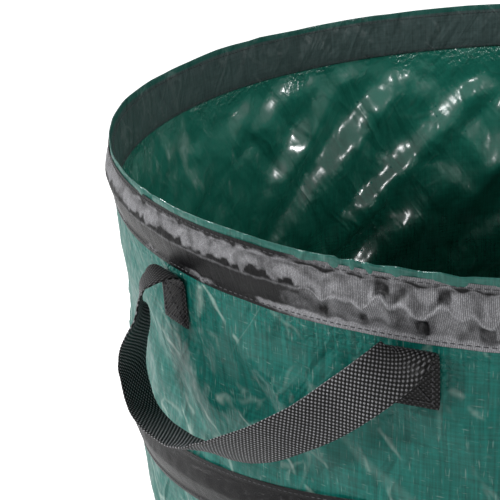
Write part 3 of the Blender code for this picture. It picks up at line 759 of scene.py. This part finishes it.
def sheen_all_over_at(angle):
    """Where the rim tape gets its painted highlight all over: right of the handle's middle and wherever it is
    drawn up.
    """
    turned = from_front(angle)
    front = smooth(math.radians(-3), math.radians(9), turned) * (1 - smooth(1.0, 1.6, turned))
    return np.maximum(front, 0.8 * crumple_at(angle))


def painted_tape_sheen(angle, side, crumple, relief, sheen_all_over):
    """How strong the tape's painted highlight is, from 0 to 1; the hollows keep painted shade."""
    ragged = 0.12 * facets(angle, 4 * MM, 31) + 0.20 * grain(angle, side * 0.02, 8 * MM, 9 * MM, 0.0, 15.0)
    all_over = np.clip(sheen_all_over, 0.0, 1.0)
    ends = side + ragged - 0.20 * all_over
    upper = smooth(-0.80, -0.70, side + ragged * 0.5) * (1 - smooth(-0.24, -0.12, ends))
    lower = smooth(0.10, 0.26, side + 0.16 * all_over) * (1 - smooth(0.92, 0.99, side))
    spots = smooth(0.1, 0.5, np.abs(grain(angle, side * 0.02, 20 * MM, 14 * MM, 0.0, 19.0)) * 2.2)
    # Painted highlight on the upper side, below the crest where drawn up, along the lips and on the crest;
    # the hollows get painted shade.
    sheen = upper * (0.46 + 0.20 * spots) + lower * all_over * (0.38 + 0.24 * spots)
    sheen += (np.abs(side) > 0.78) * all_over * 0.55
    lip_sheen_patches = smooth(0.05, 0.35, grain(angle, side * 0.01, 42 * MM, 30 * MM, 0.0, 23.0) + 0.12)
    low_edge = smooth(0.70, 0.80, side + ragged * 0.5) * (1 - smooth(0.86, 0.94, side + ragged * 0.5))
    sheen += low_edge * lip_sheen_patches * 0.6
    crest = np.exp(-(side / 0.07) ** 2) * (0.3 + 0.8 * crumple)
    expected = BULGE * (1 - np.abs(side)) * 1.1
    hollow_shade = 0.6 * smooth(0.45 * MM, 1.6 * MM, expected - relief) * (np.abs(side) < 0.72)
    return np.clip(np.maximum(sheen * (1 - hollow_shade), crest), 0.0, 1.0)


# %% Rim tape and base tape
FINE_ARC = (math.radians(-52), math.radians(42))


def tape_angles(front_step, back_step):
    """Angles round the bag, closer together at the front."""
    first, last = FINE_ARC
    front = np.arange(first, last, front_step / RIM_R)
    rest = first + FULL_TURN - last
    return np.concatenate([front, np.linspace(last, last + rest, int(rest * RIM_R / back_step))])


def tape_ring(name, low, high, crumple, sheen_all_over, angles, seed):
    """A tape round the bag, as a thin closed skin."""
    tall = high - low
    grid, side_grid = np.meshgrid(angles[:-1], SIDES)
    share, relief = tape_relief(grid * RIM_R, side_grid, crumple(grid), tall, seed)
    wave = 0.25 * MM * facets(grid, 18 * MM, int(seed) + 20)
    height = high - share * tall + wave * (np.abs(side_grid) > 0.8)
    thick = TAPE_THICK * np.clip(relief / MM, 0.25, 1.0)
    points = np.concatenate([round_points(TAPE_R + relief, height, grid),
                             round_points(TAPE_R + relief - thick, height, grid)[::-1]])
    marks = np.concatenate([SIDES, SIDES[::-1], SIDES[:1]]) * tall / 2
    ring = skin(name, points, angles * RIM_R, marks, True, BLACK_TAPE)
    # The tape's painted highlight and painted shade, kept on the mesh for its material.
    sheen = painted_tape_sheen(grid, side_grid, crumple(grid), relief, sheen_all_over(grid))
    mark_points(ring, "painted_sheen", np.concatenate([sheen, np.zeros_like(sheen)]))
    return ring


rim_tape = tape_ring("rim_tape", *RIM_TAPE, crumple_at, sheen_all_over_at, tape_angles(0.9 * MM, 2.0 * MM), 1.0)
base_tape = tape_ring("base_tape", *BASE_TAPE, lambda a: np.full_like(a, 0.22),
                      lambda a: np.full_like(a, 0.1), tape_angles(2.5 * MM, 3.0 * MM), 2.0)

# %% [markdown]
# **Spiral sleeve and spring wire.** The wire gives the bag its form: one helix that climbs the wall in
# just under two turns, inside a sleeve of the same tape. A shape that follows a rule suits Geometry
# Nodes. The tree draws the helix from its radius, climb and turns, sweeps an outline along it with the
# normals kept level, and puckers what bulges. The same tree makes both pieces from two outlines. The
# sleeve's ends lie flat under the rim and base tapes, as they are sewn in there. In the outline, X is
# out from the cloth and Y is down the wall.

# %% Helix tree
def new_tree(name, enters, makes):
    """An empty Geometry Nodes tree, with its inputs as (name, kind, value) and one output."""
    tree = bpy.data.node_groups.new(name, "GeometryNodeTree")
    for label, kind, value in enters:
        socket = tree.interface.new_socket(label, in_out="INPUT", socket_type="NodeSocket" + kind)
        if value is not None:
            socket.default_value = value
    tree.interface.new_socket(makes, in_out="OUTPUT", socket_type="NodeSocketGeometry")
    return tree, add(tree, "NodeGroupInput").outputs


def helix_tree():
    """Geometry Nodes: an outline swept along a helix about the bag's axis."""
    sizes = [(label, "Float", 0.0) for label in ("Low", "Climb", "Start", "Turns", "Pucker", "Outer Length")]
    tree, enter = new_tree("helix_sweep", [("Outline", "Geometry", None), *sizes,
                                           ("Material", "Material", None)], "Sweep")
    helix = add(tree, "GeometryNodeCurveSpiral", {"Resolution": 680, "Rotations": enter["Turns"],
                                                  "Start Radius": TAPE_R, "End Radius": TAPE_R,
                                                  "Height": enter["Climb"], "Reverse": True})
    placed = add(tree, "GeometryNodeTransform", {
        "Geometry": helix, "Translation": add(tree, "ShaderNodeCombineXYZ", {"Z": enter["Low"]}),
        "Rotation": add(tree, "ShaderNodeCombineXYZ", {"Z": enter["Start"]})})
    level = add(tree, "GeometryNodeSetCurveNormal", {"Curve": placed}, mode="Z_UP")
    run = add(tree, "GeometryNodeSplineParameter")
    position = add(tree, "GeometryNodeInputPosition")
    rail = add(tree, "GeometryNodeCaptureAttribute", {"Geometry": level})
    rail.capture_items.new("FLOAT", "along")
    tree.links.new(run.outputs["Length"], rail.inputs["along"])
    shape = add(tree, "GeometryNodeCaptureAttribute", {"Geometry": enter["Outline"]})
    shape.capture_items.new("FLOAT", "across")
    shape.capture_items.new("VECTOR", "place")
    tree.links.new(run.outputs["Length"], shape.inputs["across"])
    tree.links.new(position.outputs[0], shape.inputs["place"])
    swept = add(tree, "GeometryNodeCurveToMesh", {
        "Curve": rail.outputs["Geometry"], "Profile Curve": shape.outputs["Geometry"], "Fill Caps": True})
    along, across = rail.outputs["along"], shape.outputs["across"]
    section = add(tree, "ShaderNodeSeparateXYZ", {"Vector": shape.outputs["place"]}).outputs
    where = add(tree, "ShaderNodeSeparateXYZ", {"Vector": position}).outputs
    lump_place = add(tree, "ShaderNodeCombineXYZ", {"X": along, "Y": section["Y"]})
    lump_at = add(tree, "ShaderNodeVectorMath", {0: lump_place, 1: (9 * MM, 14 * MM, 1.0)},
                  operation="DIVIDE")
    lump = add(tree, "ShaderNodeTexNoise", {"Vector": lump_at, "Scale": 1.0, "Detail": 2.0})
    uneven = add(tree, "ShaderNodeMath", {0: lump, 1: 0.5}, operation="SUBTRACT")
    ragged = weighted(tree, (uneven, 2.5 * MM), (section["Y"], 1.0))
    above_base, below_rim, raised, under_edge, over_crest = (
        add(tree, "ShaderNodeMapRange", {"Value": value, "From Min": low, "From Max": high},
            interpolation_type="SMOOTHSTEP")
        for value, low, high in ((where["Z"], BASE_TAPE[1] + 1 * MM, BASE_TAPE[1] + 11 * MM),
                                 (where["Z"], RIM_TAPE[0] - 1 * MM, RIM_TAPE[0] - 11 * MM),
                                 (section["X"], 0.3 * MM, 2.0 * MM),
                                 (ragged, -13.5 * MM, -11.2 * MM), (ragged, -0.6 * MM, -2.8 * MM)))
    free = weighted(tree, (above_base, below_rim))
    sewn_in = add(tree, "ShaderNodeMath", {0: 1.0, 1: free}, operation="SUBTRACT")
    puckered = weighted(tree, (weighted(tree, (uneven, raised)), enter["Pucker"]))
    inner = add(tree, "ShaderNodeMath", {0: across, 1: enter["Outer Length"]}, operation="GREATER_THAN")
    flat = weighted(tree, (inner, -0.14 * MM), (section["X"], -1.0), (-0.09 * MM, 1.0))
    shift = weighted(tree, (puckered, free), (flat, sewn_in))
    sideways = add(tree, "ShaderNodeCombineXYZ", {"X": where["X"], "Y": where["Y"]})
    outward = add(tree, "ShaderNodeVectorMath", {0: sideways}, operation="NORMALIZE")
    offset = add(tree, "ShaderNodeVectorMath", {0: outward, "Scale": shift}, operation="SCALE")
    moved = add(tree, "GeometryNodeSetPosition", {"Geometry": swept, "Offset": offset})
    outer = add(tree, "ShaderNodeMath", {0: across, 1: enter["Outer Length"]}, operation="LESS_THAN")
    # Painted highlight: the sleeve's outer upper slope, between its top lip and its crest, is painted pale
    # where it is not sewn in.
    painted_light = weighted(tree, (weighted(tree, (under_edge, over_crest)), weighted(tree, (outer, free))))
    cloth_map = add(tree, "ShaderNodeCombineXYZ", {"X": across, "Y": along})
    mapped = add(tree, "GeometryNodeStoreNamedAttribute", {"Geometry": moved, "Name": "cloth"},
                 data_type="FLOAT2", domain="CORNER")
    tree.links.new(cloth_map.outputs[0], mapped.inputs["Value"])
    painted_sheen = add(tree, "GeometryNodeStoreNamedAttribute", {"Geometry": mapped, "Name": "painted_sheen"},
               data_type="FLOAT", domain="POINT")
    tree.links.new(weighted(tree, (painted_light, 0.12)).outputs[0], painted_sheen.inputs["Value"])
    real = add(tree, "GeometryNodeRealizeInstances", {"Geometry": painted_sheen})
    finished = add(tree, "GeometryNodeSetMaterial", {"Geometry": real, "Material": enter["Material"]})
    add(tree, "NodeGroupOutput", {"Sweep": finished})
    return tree


HELIX = helix_tree()
print("helix nodes:", len(HELIX.nodes))

# %% [markdown]
# A tree runs as a modifier on a guide curve. Its inputs are set by their sockets' identifiers, and
# the result is kept as a plain mesh, so that no modifier is left when the piece is tied to a body.

# %% From tree to plain mesh
def guide_curve(name, lines):
    """A curve object from lines of points; each line is open or closed."""
    data = bpy.data.curves.new(name, "CURVE")
    data.dimensions = "3D"
    for line, cyclic in lines:
        spline = data.splines.new("POLY")
        spline.points.add(len(line) - 1)
        spline.points.foreach_set("co", np.hstack([line, np.ones((len(line), 1))]).ravel())
        spline.use_cyclic_u = cyclic
    guide = bpy.data.objects.new(name, data)
    bpy.context.scene.collection.objects.link(guide)
    return guide


def to_plain_mesh(name, lines, tree, values):
    """Runs a tree on guide lines, with its inputs set by name, and keeps the result as a plain mesh."""
    guide = guide_curve(name + "_line", lines)
    nodes = guide.modifiers.new(tree.name, "NODES")
    nodes.node_group = tree
    keys = {item.name: item.identifier for item in tree.interface.items_tree if item.in_out == "INPUT"}
    for label, value in values.items():
        nodes[keys[label]] = value
    bpy.context.view_layer.update()
    mesh = bpy.data.meshes.new_from_object(guide.evaluated_get(bpy.context.evaluated_depsgraph_get()))
    mesh.name = name
    bpy.data.objects.remove(guide, do_unlink=True)
    shell = bmesh.new()
    shell.from_mesh(mesh)
    bmesh.ops.recalc_face_normals(shell, faces=shell.faces)
    shell.to_mesh(mesh)
    shell.free()
    mesh.shade_smooth()
    mesh.set_sharp_from_angle(angle=math.radians(60))
    obj = bpy.data.objects.new(name, mesh)
    bpy.context.scene.collection.objects.link(obj)
    print(name, len(mesh.polygons), "faces")
    return obj


# %% Spiral sleeve and wire
SLEEVE_TUCK = math.radians(35)
WIRE_SHORT = math.radians(9)
WIRE_R = 1.4 * MM


def sleeve_outline():
    """The sleeve's outline, out along its outer side and back along the inner, and the outer one's length."""
    share = np.concatenate([[0.0, 0.012, 0.06, 0.12], np.linspace(0.145, 0.44, 8), [0.465, 0.49, 0.515],
                            np.linspace(0.54, 0.855, 8), [0.88, 0.94, 0.988, 1.0]])
    lip = TAPE_LIP / SLEEVE_WIDE
    climb = np.where(share < 0.49, (share - lip) / (0.49 - lip), (1 - lip - share) / (0.51 - lip))
    climb = np.clip(climb, 0, 1)
    out = 0.15 * MM + BULGE * (0.6 * np.sin(climb * np.pi / 2) + 0.4 * climb) * (climb > 0)
    out[[0, -1]] = -0.05 * MM
    inner = np.maximum(out - TAPE_THICK, -0.22 * MM)
    down = share * SLEEVE_WIDE
    outer_side = np.stack([out, down, 0 * out], -1)
    inner_side = np.stack([inner, down, 0 * out], -1)[::-1]
    length = np.hypot(np.diff(out), np.diff(down)).sum()
    return np.concatenate([outer_side, inner_side[1:-1]]) - (0.0, SLEEVE_WIDE / 2, 0.0), length


def along_spiral(past_end):
    """The helix tree's sizes for a piece that runs past the spiral's ends by an angle."""
    turn = SPIRAL_TURN + 2 * past_end
    return {"Low": SPIRAL_LOW - SPIRAL_SLOPE * past_end, "Climb": SPIRAL_SLOPE * turn,
            "Start": SPIRAL_START - past_end, "Turns": turn / FULL_TURN}


tape_outline, outer_length = sleeve_outline()
sleeve = to_plain_mesh("spiral_sleeve_tape", [(tape_outline, True)], HELIX, {
    **along_spiral(SLEEVE_TUCK), "Pucker": 1.5 * MM, "Outer Length": outer_length, "Material": BLACK_TAPE})
wire_outline = np.array([(WIRE_R + WIRE_R * math.cos(t), WIRE_R * math.sin(t), 0.0)
                         for t in np.linspace(0, FULL_TURN, 9)[:-1]])
wire = to_plain_mesh("spiral_spring_wire", [(wire_outline, True)], HELIX, {
    **along_spiral(-WIRE_SHORT), "Pucker": 0.0, "Outer Length": 1.0, "Material": SPRING_STEEL})

# %% [markdown]
# **Side seam.** The wall is one panel rolled into a tube and closed by a folded seam on the inside.
# The seam follows the wall's own relief, so it is worked out from the same function, a cloth's
# thickness further in, with a rounded lift over its 12 mm.

# %% Side seam
SEAM_ANGLE = math.radians(93.75)
seam_heights = np.linspace(WALL_FOOT, WALL_HEAD - 2 * MM, 90)
seam_width = np.array([-6.0, -5.6, -3.0, 0.0, 3.0, 5.6, 6.0]) * MM
seam_lift = np.array([0.35, 0.75, 0.9, 1.05, 0.9, 0.75, 0.35]) * MM
seam_a, seam_h = np.meshgrid(SEAM_ANGLE + seam_width / RIM_R, seam_heights)
seam_in = CLOTH_R + wall_relief(seam_a, seam_h) - CLOTH_THICK - 0.15 * MM
seam_loop = np.concatenate([round_points(seam_in, seam_h, seam_a),
                            round_points(seam_in - seam_lift, seam_h, seam_a)[:, ::-1]], axis=1)
seam = skin("side_seam_fold", seam_loop, np.linspace(0, 25 * MM, 15), seam_heights, False, GREEN_CLOTH)

# %% [markdown]
# **Handle strap.** A length of 25 mm webbing is sewn to the wall with both ends pointing down, folds
# outward under the rim tape and hangs in a loop that twists as it falls. A flat strap bends only
# across its width, so we give the middle line and the way the width lies at each station, and
# sweep the weave along it with a smooth curve through the stations.

# %% Strap stations: degrees, then mm off the wall and under the rim; the width along, out and up
STATIONS = (
    (-15.5, -0.35, -67.0, -1.00, 0.00, 0.00), (-15.5, -0.35, -58.0, -1.00, 0.00, 0.00),
    (-15.5, -0.30, -50.0, -1.00, 0.00, 0.00), (-15.5, -0.10, -43.0, -1.00, 0.00, 0.00),
    (-15.5, 1.20, -39.0, -1.00, 0.00, 0.00), (-15.5, 4.00, -37.0, -1.00, -0.02, -0.02),
    (-15.6, 8.00, -36.6, -1.00, -0.06, -0.06), (-15.8, 12.0, -38.2, -0.97, -0.18, -0.16),
    (-16.0, 15.6, -41.5, -0.92, -0.30, -0.28), (-15.8, 18.6, -47.5, -0.84, -0.44, -0.34),
    (-15.6, 20.4, -55.0, -0.74, -0.56, -0.38), (-16.2, 21.4, -65.0, -0.60, -0.69, -0.41),
    (-17.5, 21.9, -80.0, -0.52, -0.75, -0.40), (-18.0, 22.2, -92.0, -0.46, -0.79, -0.39),
    (-17.4, 22.8, -102.5, -0.40, -0.83, -0.39), (-16.2, 22.9, -112.0, -0.42, -0.85, -0.31),
    (-13.6, 22.8, -116.6, -0.52, -0.80, -0.27), (-10.2, 22.4, -117.2, -0.65, -0.70, -0.28),
    (-7.5, 22.6, -115.2, -0.70, -0.60, -0.36), (-5.3, 23.1, -112.4, -0.68, -0.53, -0.50),
    (-3.2, 24.1, -108.4, -0.57, -0.45, -0.69), (-0.4, 24.8, -101.0, -0.34, -0.40, -0.85),
    (2.5, 25.0, -92.3, -0.08, -0.35, -0.93), (4.9, 24.3, -83.8, 0.08, -0.28, -0.96),
    (7.8, 22.0, -73.2, 0.22, -0.16, -0.96), (11.0, 19.6, -58.8, 0.45, 0.08, -0.88),
    (13.0, 17.3, -49.4, 0.72, 0.12, -0.68), (14.5, 13.8, -42.4, 0.93, 0.06, -0.35),
    (15.3, 10.2, -38.0, 0.99, 0.02, -0.12), (15.5, 6.0, -36.6, 1.00, 0.00, -0.03),
    (15.5, 2.2, -38.0, 1.00, 0.00, 0.00), (15.5, 0.10, -42.0, 1.00, 0.00, 0.00),
    (15.5, -0.30, -49.0, 1.00, 0.00, 0.00), (15.5, -0.35, -58.0, 1.00, 0.00, 0.00),
    (15.5, -0.35, -67.0, 1.00, 0.00, 0.00),
)
UP = np.array([0.0, 0.0, 1.0])


def out_and_along(degrees):
    """The directions out from the wall and along it at an angle from the front."""
    a = math.radians(degrees)
    return np.array([math.sin(a), -math.cos(a), 0.0]), np.array([math.cos(a), math.sin(a), 0.0])


def strap_line(step):
    """Middle points and width directions along the strap, a step apart, and how far along each is."""
    rows = []
    for degrees, off, up, side, lean, rise in STATIONS:
        out, along = out_and_along(degrees)
        centre = out * (RIM_R + off * MM) + UP * (TOP + up * MM)
        rows.append(np.concatenate([centre, along * side + out * lean + UP * rise]))
    pad = np.vstack([2 * rows[0] - rows[1], *rows, 2 * rows[-1] - rows[-2]])
    fine = []
    for k in range(1, len(pad) - 2):
        p0, p1, p2, p3 = pad[k - 1:k + 3]
        for t in np.linspace(0, 1, 24, endpoint=False):
            fine.append(0.5 * (2 * p1 + (p2 - p0) * t + (2 * p0 - 5 * p1 + 4 * p2 - p3) * t * t
                               + (3 * p1 - p0 - 3 * p2 + p3) * t ** 3))
    fine = np.array(fine + [pad[-2]])
    length = np.concatenate([[0.0], np.cumsum(np.linalg.norm(np.diff(fine[:, :3], axis=0), axis=1))])
    marks = np.linspace(0.0, length[-1], int(length[-1] / step))
    return np.stack([np.interp(marks, length, fine[:, c]) for c in range(6)], 1), marks


# %% Strap
def strap(name, turn):
    """One handle: the swept strap with its basket weave, turned about the bag's axis."""
    line, marks = strap_line(0.55 * MM)
    centre, across = line[:, :3], line[:, 3:]
    tangent = np.gradient(centre, axis=0)
    tangent /= np.linalg.norm(tangent, axis=1, keepdims=True)
    across -= tangent * np.sum(across * tangent, axis=1, keepdims=True)
    across /= np.linalg.norm(across, axis=1, keepdims=True)
    face = np.cross(tangent, across)
    share = np.linspace(-1.0, 1.0, 47)
    s, m = np.meshgrid(share * WEBBING_WIDE / 2, marks)
    crown = 0.5 + 0.5 * np.cos(FULL_TURN * s / WEAVE_PITCH) * np.cos(FULL_TURN * m / WEAVE_PITCH)
    ribs = 0.5 + 0.5 * np.cos(2 * FULL_TURN * s / WEAVE_PITCH)
    lift = (0.9 * crown + 0.1 * ribs) * 0.42 * MM
    round_edge = np.sqrt(np.clip(1 - np.abs(share) ** 12, 0.02, 1.0))
    thick = (WEBBING_THICK / 2 - 0.2 * MM + lift) * round_edge
    middle = centre[:, None] + across[:, None] * s[..., None]
    half = face[:, None] * thick[..., None]
    points = np.concatenate([middle + half, (middle - half)[:, ::-1]], axis=1)
    c, s_turn = math.cos(turn), math.sin(turn)
    points = points @ np.array([[c, s_turn, 0.0], [-s_turn, c, 0.0], [0.0, 0.0, 1.0]])
    over = (share + 1) * WEBBING_WIDE / 2
    strap_marks = np.concatenate([over, 2 * WEBBING_WIDE - over[::-1], [2 * WEBBING_WIDE]])
    obj = skin(name, points, strap_marks, marks, False, WEBBING)
    from_end = np.minimum(marks, marks[-1] - marks)
    # Painted shade: the crowns' painted highlight fades near the sewn ends, which lie in the loop's shadow.
    clear_of_seam = 0.22 + 0.78 * smooth(30 * MM, 70 * MM, from_end)
    mark_points(obj, "clear_of_seam", np.repeat(clear_of_seam, points.shape[1]))
    return obj


front_strap = strap("front_handle_strap", 0.0)
back_strap = strap("back_handle_strap", math.pi)

# %% [markdown]
# **Stitches.** The tapes and the strap's ends are sewn with thick thread in stitches about 3.5 mm
# long. A Geometry Nodes tree sets a small spindle at even steps along any line, turned to follow it,
# so one tree serves the rings, the spiral and the boxes on the strap's ends. A spindle is a sphere of
# a few faces, as there are thousands. Each seam runs 2.1 mm in from its tape's edge.

# %% Stitch tree
def stitch_tree():
    """Geometry Nodes: spindles along a curve."""
    tree, enter = new_tree("stitches", [
        ("Line", "Geometry", None), ("Spacing", "Float", 3.6 * MM), ("Length", "Float", 2.6 * MM),
        ("Thread", "Float", 0.6 * MM)], "Stitches")
    points = add(tree, "GeometryNodeCurveToPoints", {"Curve": enter["Line"], "Length": enter["Spacing"]},
                 mode="LENGTH")
    spindle = add(tree, "GeometryNodeMeshUVSphere", {"Segments": 6, "Rings": 4, "Radius": 0.5})
    size = add(tree, "ShaderNodeCombineXYZ", {"X": enter["Thread"], "Y": enter["Thread"],
                                              "Z": enter["Length"]})
    placed = add(tree, "GeometryNodeInstanceOnPoints", {
        "Points": points.outputs["Points"], "Instance": spindle, "Rotation": points.outputs["Rotation"],
        "Scale": size})
    real = add(tree, "GeometryNodeRealizeInstances", {"Geometry": placed})
    dyed = add(tree, "GeometryNodeSetMaterial", {"Geometry": real, "Material": THREAD})
    add(tree, "NodeGroupOutput", {"Stitches": dyed})
    return tree


STITCHES = stitch_tree()
print("stitch nodes:", len(STITCHES.nodes))

# %% Stitch lines
ON_TAPE = TAPE_R + 0.25 * MM
SEAM_IN = 2.1 * MM


def ring_line(radius, height):
    """A closed round line about the bag."""
    return round_points(radius, height, np.linspace(0.0, FULL_TURN, 720, endpoint=False)), True


def spiral_line(offset):
    """An open line along the sleeve, an offset above or below its middle."""
    turn = np.linspace(math.radians(2), SPIRAL_TURN - math.radians(2), 1300)
    height = SPIRAL_LOW + SPIRAL_SLOPE * turn + offset
    return round_points(ON_TAPE, height, SPIRAL_START + math.pi / 2 + turn), False


def box_lines(degrees):
    """A sewn box with its cross on a strap's end."""
    wide, low, high = 9.5 * MM, TOP - 64 * MM, TOP - 45 * MM
    out, along = out_and_along(degrees)
    lines = []
    for run in ([(-wide, low), (wide, low), (wide, high), (-wide, high), (-wide, low), (wide, high)],
                [(-wide, high), (wide, low)]):
        corners = np.array(run)
        at = np.linspace(0, len(run) - 1, 12 * (len(run) - 1) + 1)
        side, up = (np.interp(at, np.arange(len(run)), corners[:, c])[:, None] for c in (0, 1))
        lines.append((out * (RIM_R + 0.55 * MM) + along * side + UP * up, False))
    return lines


# %% Stitches
rim_stitches = to_plain_mesh("rim_tape_stitches", [
    ring_line(ON_TAPE, RIM_TAPE[1] - SEAM_IN), ring_line(ON_TAPE, RIM_TAPE[0] + SEAM_IN)], STITCHES, {})
facing_stitches = to_plain_mesh("rim_facing_stitches", [
    ring_line(276.3 * MM, RIM_TAPE[0] + SEAM_IN), ring_line(276.4 * MM, RIM_TAPE[1] - SEAM_IN)], STITCHES, {})
base_stitches = to_plain_mesh("base_tape_stitches", [
    ring_line(ON_TAPE, BASE_TAPE[1] - SEAM_IN), ring_line(ON_TAPE, BASE_TAPE[0] + SEAM_IN)], STITCHES, {})
spiral_stitches = to_plain_mesh("spiral_sleeve_stitches", [
    spiral_line(SLEEVE_WIDE / 2 - SEAM_IN), spiral_line(SEAM_IN - SLEEVE_WIDE / 2)], STITCHES, {})
end_angles = (-END_ANGLE, END_ANGLE, 180 - END_ANGLE, 180 + END_ANGLE)
box_stitches = to_plain_mesh("handle_end_stitches", [line for end in end_angles for line in box_lines(end)],
                             STITCHES, {"Spacing": 2.8 * MM, "Length": 2.2 * MM, "Thread": 0.7 * MM})

# %% [markdown]
# Now the pieces are tied to the bodies that carry them. The wall, its seam, the sleeve, its wire and
# the spiral's stitches get meshes of their own and ride on the base, with the base's pieces; the rim
# fold, the rim tape and the stitches at the rim and at the handles' ends ride on the rim. The straps
# have their placing baked into their meshes. The CAD's own pieces are hidden, and the rings of wire
# keep their CAD meshes, in the steel's material.

# %% Tie the pieces to the bodies
for piece in (wall, seam, sleeve, wire, spiral_stitches):
    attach(piece, "base")
    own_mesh(piece)
for piece in (base_panel, base_fold, base_tape, base_stitches):
    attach(piece, "base")
for piece in (rim_fold, rim_tape, rim_stitches, facing_stitches, box_stitches):
    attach(piece, "rim")
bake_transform(front_strap)
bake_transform(back_strap)
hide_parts("wall_tier_1", "wall_tier_2", "wall_tier_3", "wall_tier_4")
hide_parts("rim_hem", "rim_wall", "rim_facing")
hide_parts("base_hem")
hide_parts("base_panel")
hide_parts("rim_band")
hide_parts("base_band")
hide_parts("spiral_sleeve")
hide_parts("spiral_wire")
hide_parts("side_seam")
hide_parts("handle_loop_front", "handle_end_front_left", "handle_end_front_right")
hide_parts("handle_loop_back", "handle_end_back_left", "handle_end_back_right")
for node in ("base_ring_wire", "rim_ring_wire"):
    for ring_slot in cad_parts[node].material_slots:
        ring_slot.material = SPRING_STEEL
    print(node, "keeps its mesh, in", SPRING_STEEL.name)

# %% [markdown]
# **Studio.** The bag stands on a matt white floor in a white room. Both are bright to the camera alone
# and a soft grey in reflections. All other light gets only a weak glow from the room, so the paleness
# doesn't wash out the bag or its shadow. The floor's brightness grows with distance, until it meets
# the room without a line.

# %% Floor, backdrop and world
FLOOR_HALF = 20.0


def seen_directly(tree):
    """1 for rays from the camera, off gloss or through glass, and then 1 for those from the camera."""
    rays = add(tree, "ShaderNodeLightPath").outputs
    seen = rays["Is Camera Ray"]
    for kind in ("Is Glossy Ray", "Is Transmission Ray"):
        seen = add(tree, "ShaderNodeMath", {0: seen, 1: rays[kind]}, operation="MAXIMUM")
    return seen, rays["Is Camera Ray"]


floor_mesh = bpy.data.meshes.new("studio_floor")
floor_corners = [(x * FLOOR_HALF, y * FLOOR_HALF, 0) for x, y in ((-1, -1), (1, -1), (1, 1), (-1, 1))]
floor_mesh.from_pydata(floor_corners, [], [(0, 1, 2, 3)])
floor = bpy.data.objects.new("studio_floor", floor_mesh)
bpy.context.scene.collection.objects.link(floor)
floor.location.z = -0.5 * MM
pale_floor = bpy.data.materials.new("pale_floor")
pale_floor.use_nodes = True
floor_tree = pale_floor.node_tree
floor_tree.nodes.clear()
floor_seen, floor_camera = seen_directly(floor_tree)
floor_place = add(floor_tree, "ShaderNodeTexCoord").outputs["Object"]
floor_reach = add(floor_tree, "ShaderNodeVectorMath", {0: floor_place}, operation="LENGTH")
far_white = add(floor_tree, "ShaderNodeMapRange", {"Value": floor_reach.outputs["Value"], "From Min": 0.9,
                                                   "From Max": 4.0, "To Min": 0.72, "To Max": 1.0})
glow = add(floor_tree, "ShaderNodeMapRange", {"Value": floor_camera, "To Min": 0.15, "To Max": far_white})
lit_floor = add(floor_tree, "ShaderNodeEmission", {"Color": linear("#ffffff"),
                                                   "Strength": weighted(floor_tree, (floor_seen, glow))})
matt = add(floor_tree, "ShaderNodeBsdfDiffuse", {"Color": linear("#f4f4f4")})
both = add(floor_tree, "ShaderNodeAddShader", {0: matt, 1: lit_floor})
add(floor_tree, "ShaderNodeOutputMaterial", {"Surface": both})
floor_mesh.materials.append(pale_floor)

world = bpy.data.worlds.new("studio")
bpy.context.scene.world = world
world.use_nodes = True
world_tree = world.node_tree
world_tree.nodes.clear()
world_seen, world_camera = seen_directly(world_tree)
white_level = add(world_tree, "ShaderNodeMapRange", {"Value": world_camera, "To Min": 0.28, "To Max": 1.0})
soft_light = add(world_tree, "ShaderNodeBackground", {"Color": linear("#ffffff"), "Strength": 0.22})
white_back = add(world_tree, "ShaderNodeBackground", {"Color": linear("#ffffff"), "Strength": white_level})
backdrop = add(world_tree, "ShaderNodeMixShader", {0: world_seen, 1: soft_light, 2: white_back})
add(world_tree, "ShaderNodeOutputWorld", {"Surface": backdrop})
print("floor:", 2 * FLOOR_HALF, "m wide")

# %% [markdown]
# A large softbox hangs over the bag, a wide one fills from the left and a low panel from the front. A
# smaller softbox stands high at the front left. The strongest lamp is a small key at the left, and
# three more small ones give glints on the film: a lamp's size sets how wide a glint is, and its
# brightness how hard. Each is stated by its place, its aim, its size in metres and its brightness.

# %% Lamps
LAMPS = (
    ("overhead_softbox", (-0.4, 0.2, 3.0), (0.0, 0.0, 0.3), (2.0, 2.0), 1.0),
    ("left_softbox", (-2.2, 0.1, 1.25), (0.0, -0.1, 0.66), (2.0, 0.8), 0.8),
    ("front_softbox", (-0.8, -2.1, 1.9), (0.0, -0.05, 0.5), (0.5, 0.5), 17.0),
    ("low_reflector", (0.3, -2.1, 0.42), (0.0, -0.2, 0.6), (1.2, 0.6), 1.3),
    ("glint_left", (-0.7, -1.9, 1.5), (0.0, 0.25, 0.6), (0.16, 0.16), 120.0),
    ("glint_right", (2.3, 0.45, 1.6), (-0.1, 0.15, 0.6), (0.24, 0.24), 90.0),
    ("glint_front", (1.5, -1.7, 1.6), (0.0, 0.2, 0.6), (0.16, 0.16), 60.0),
    ("key_left", (-2.0, -0.95, 1.35), (0.1, 0.1, 0.6), (0.2, 0.2), 220.0),
)
for name, place, aim, size, radiance in LAMPS:
    data = bpy.data.lights.new(name, "AREA")
    data.shape = "RECTANGLE"
    data.size, data.size_y = size
    data.energy = math.pi * radiance * size[0] * size[1]
    lamp = bpy.data.objects.new(name, data)
    bpy.context.scene.collection.objects.link(lamp)
    lamp.visible_camera = False
    turn = (Vector(aim) - Vector(place)).to_track_quat("-Z", "Y")
    lamp.matrix_world = Matrix.Translation(place) @ turn.to_matrix().to_4x4()
    print(name, round(data.energy, 1), "W")

bpy.context.scene.view_settings.view_transform = "Standard"
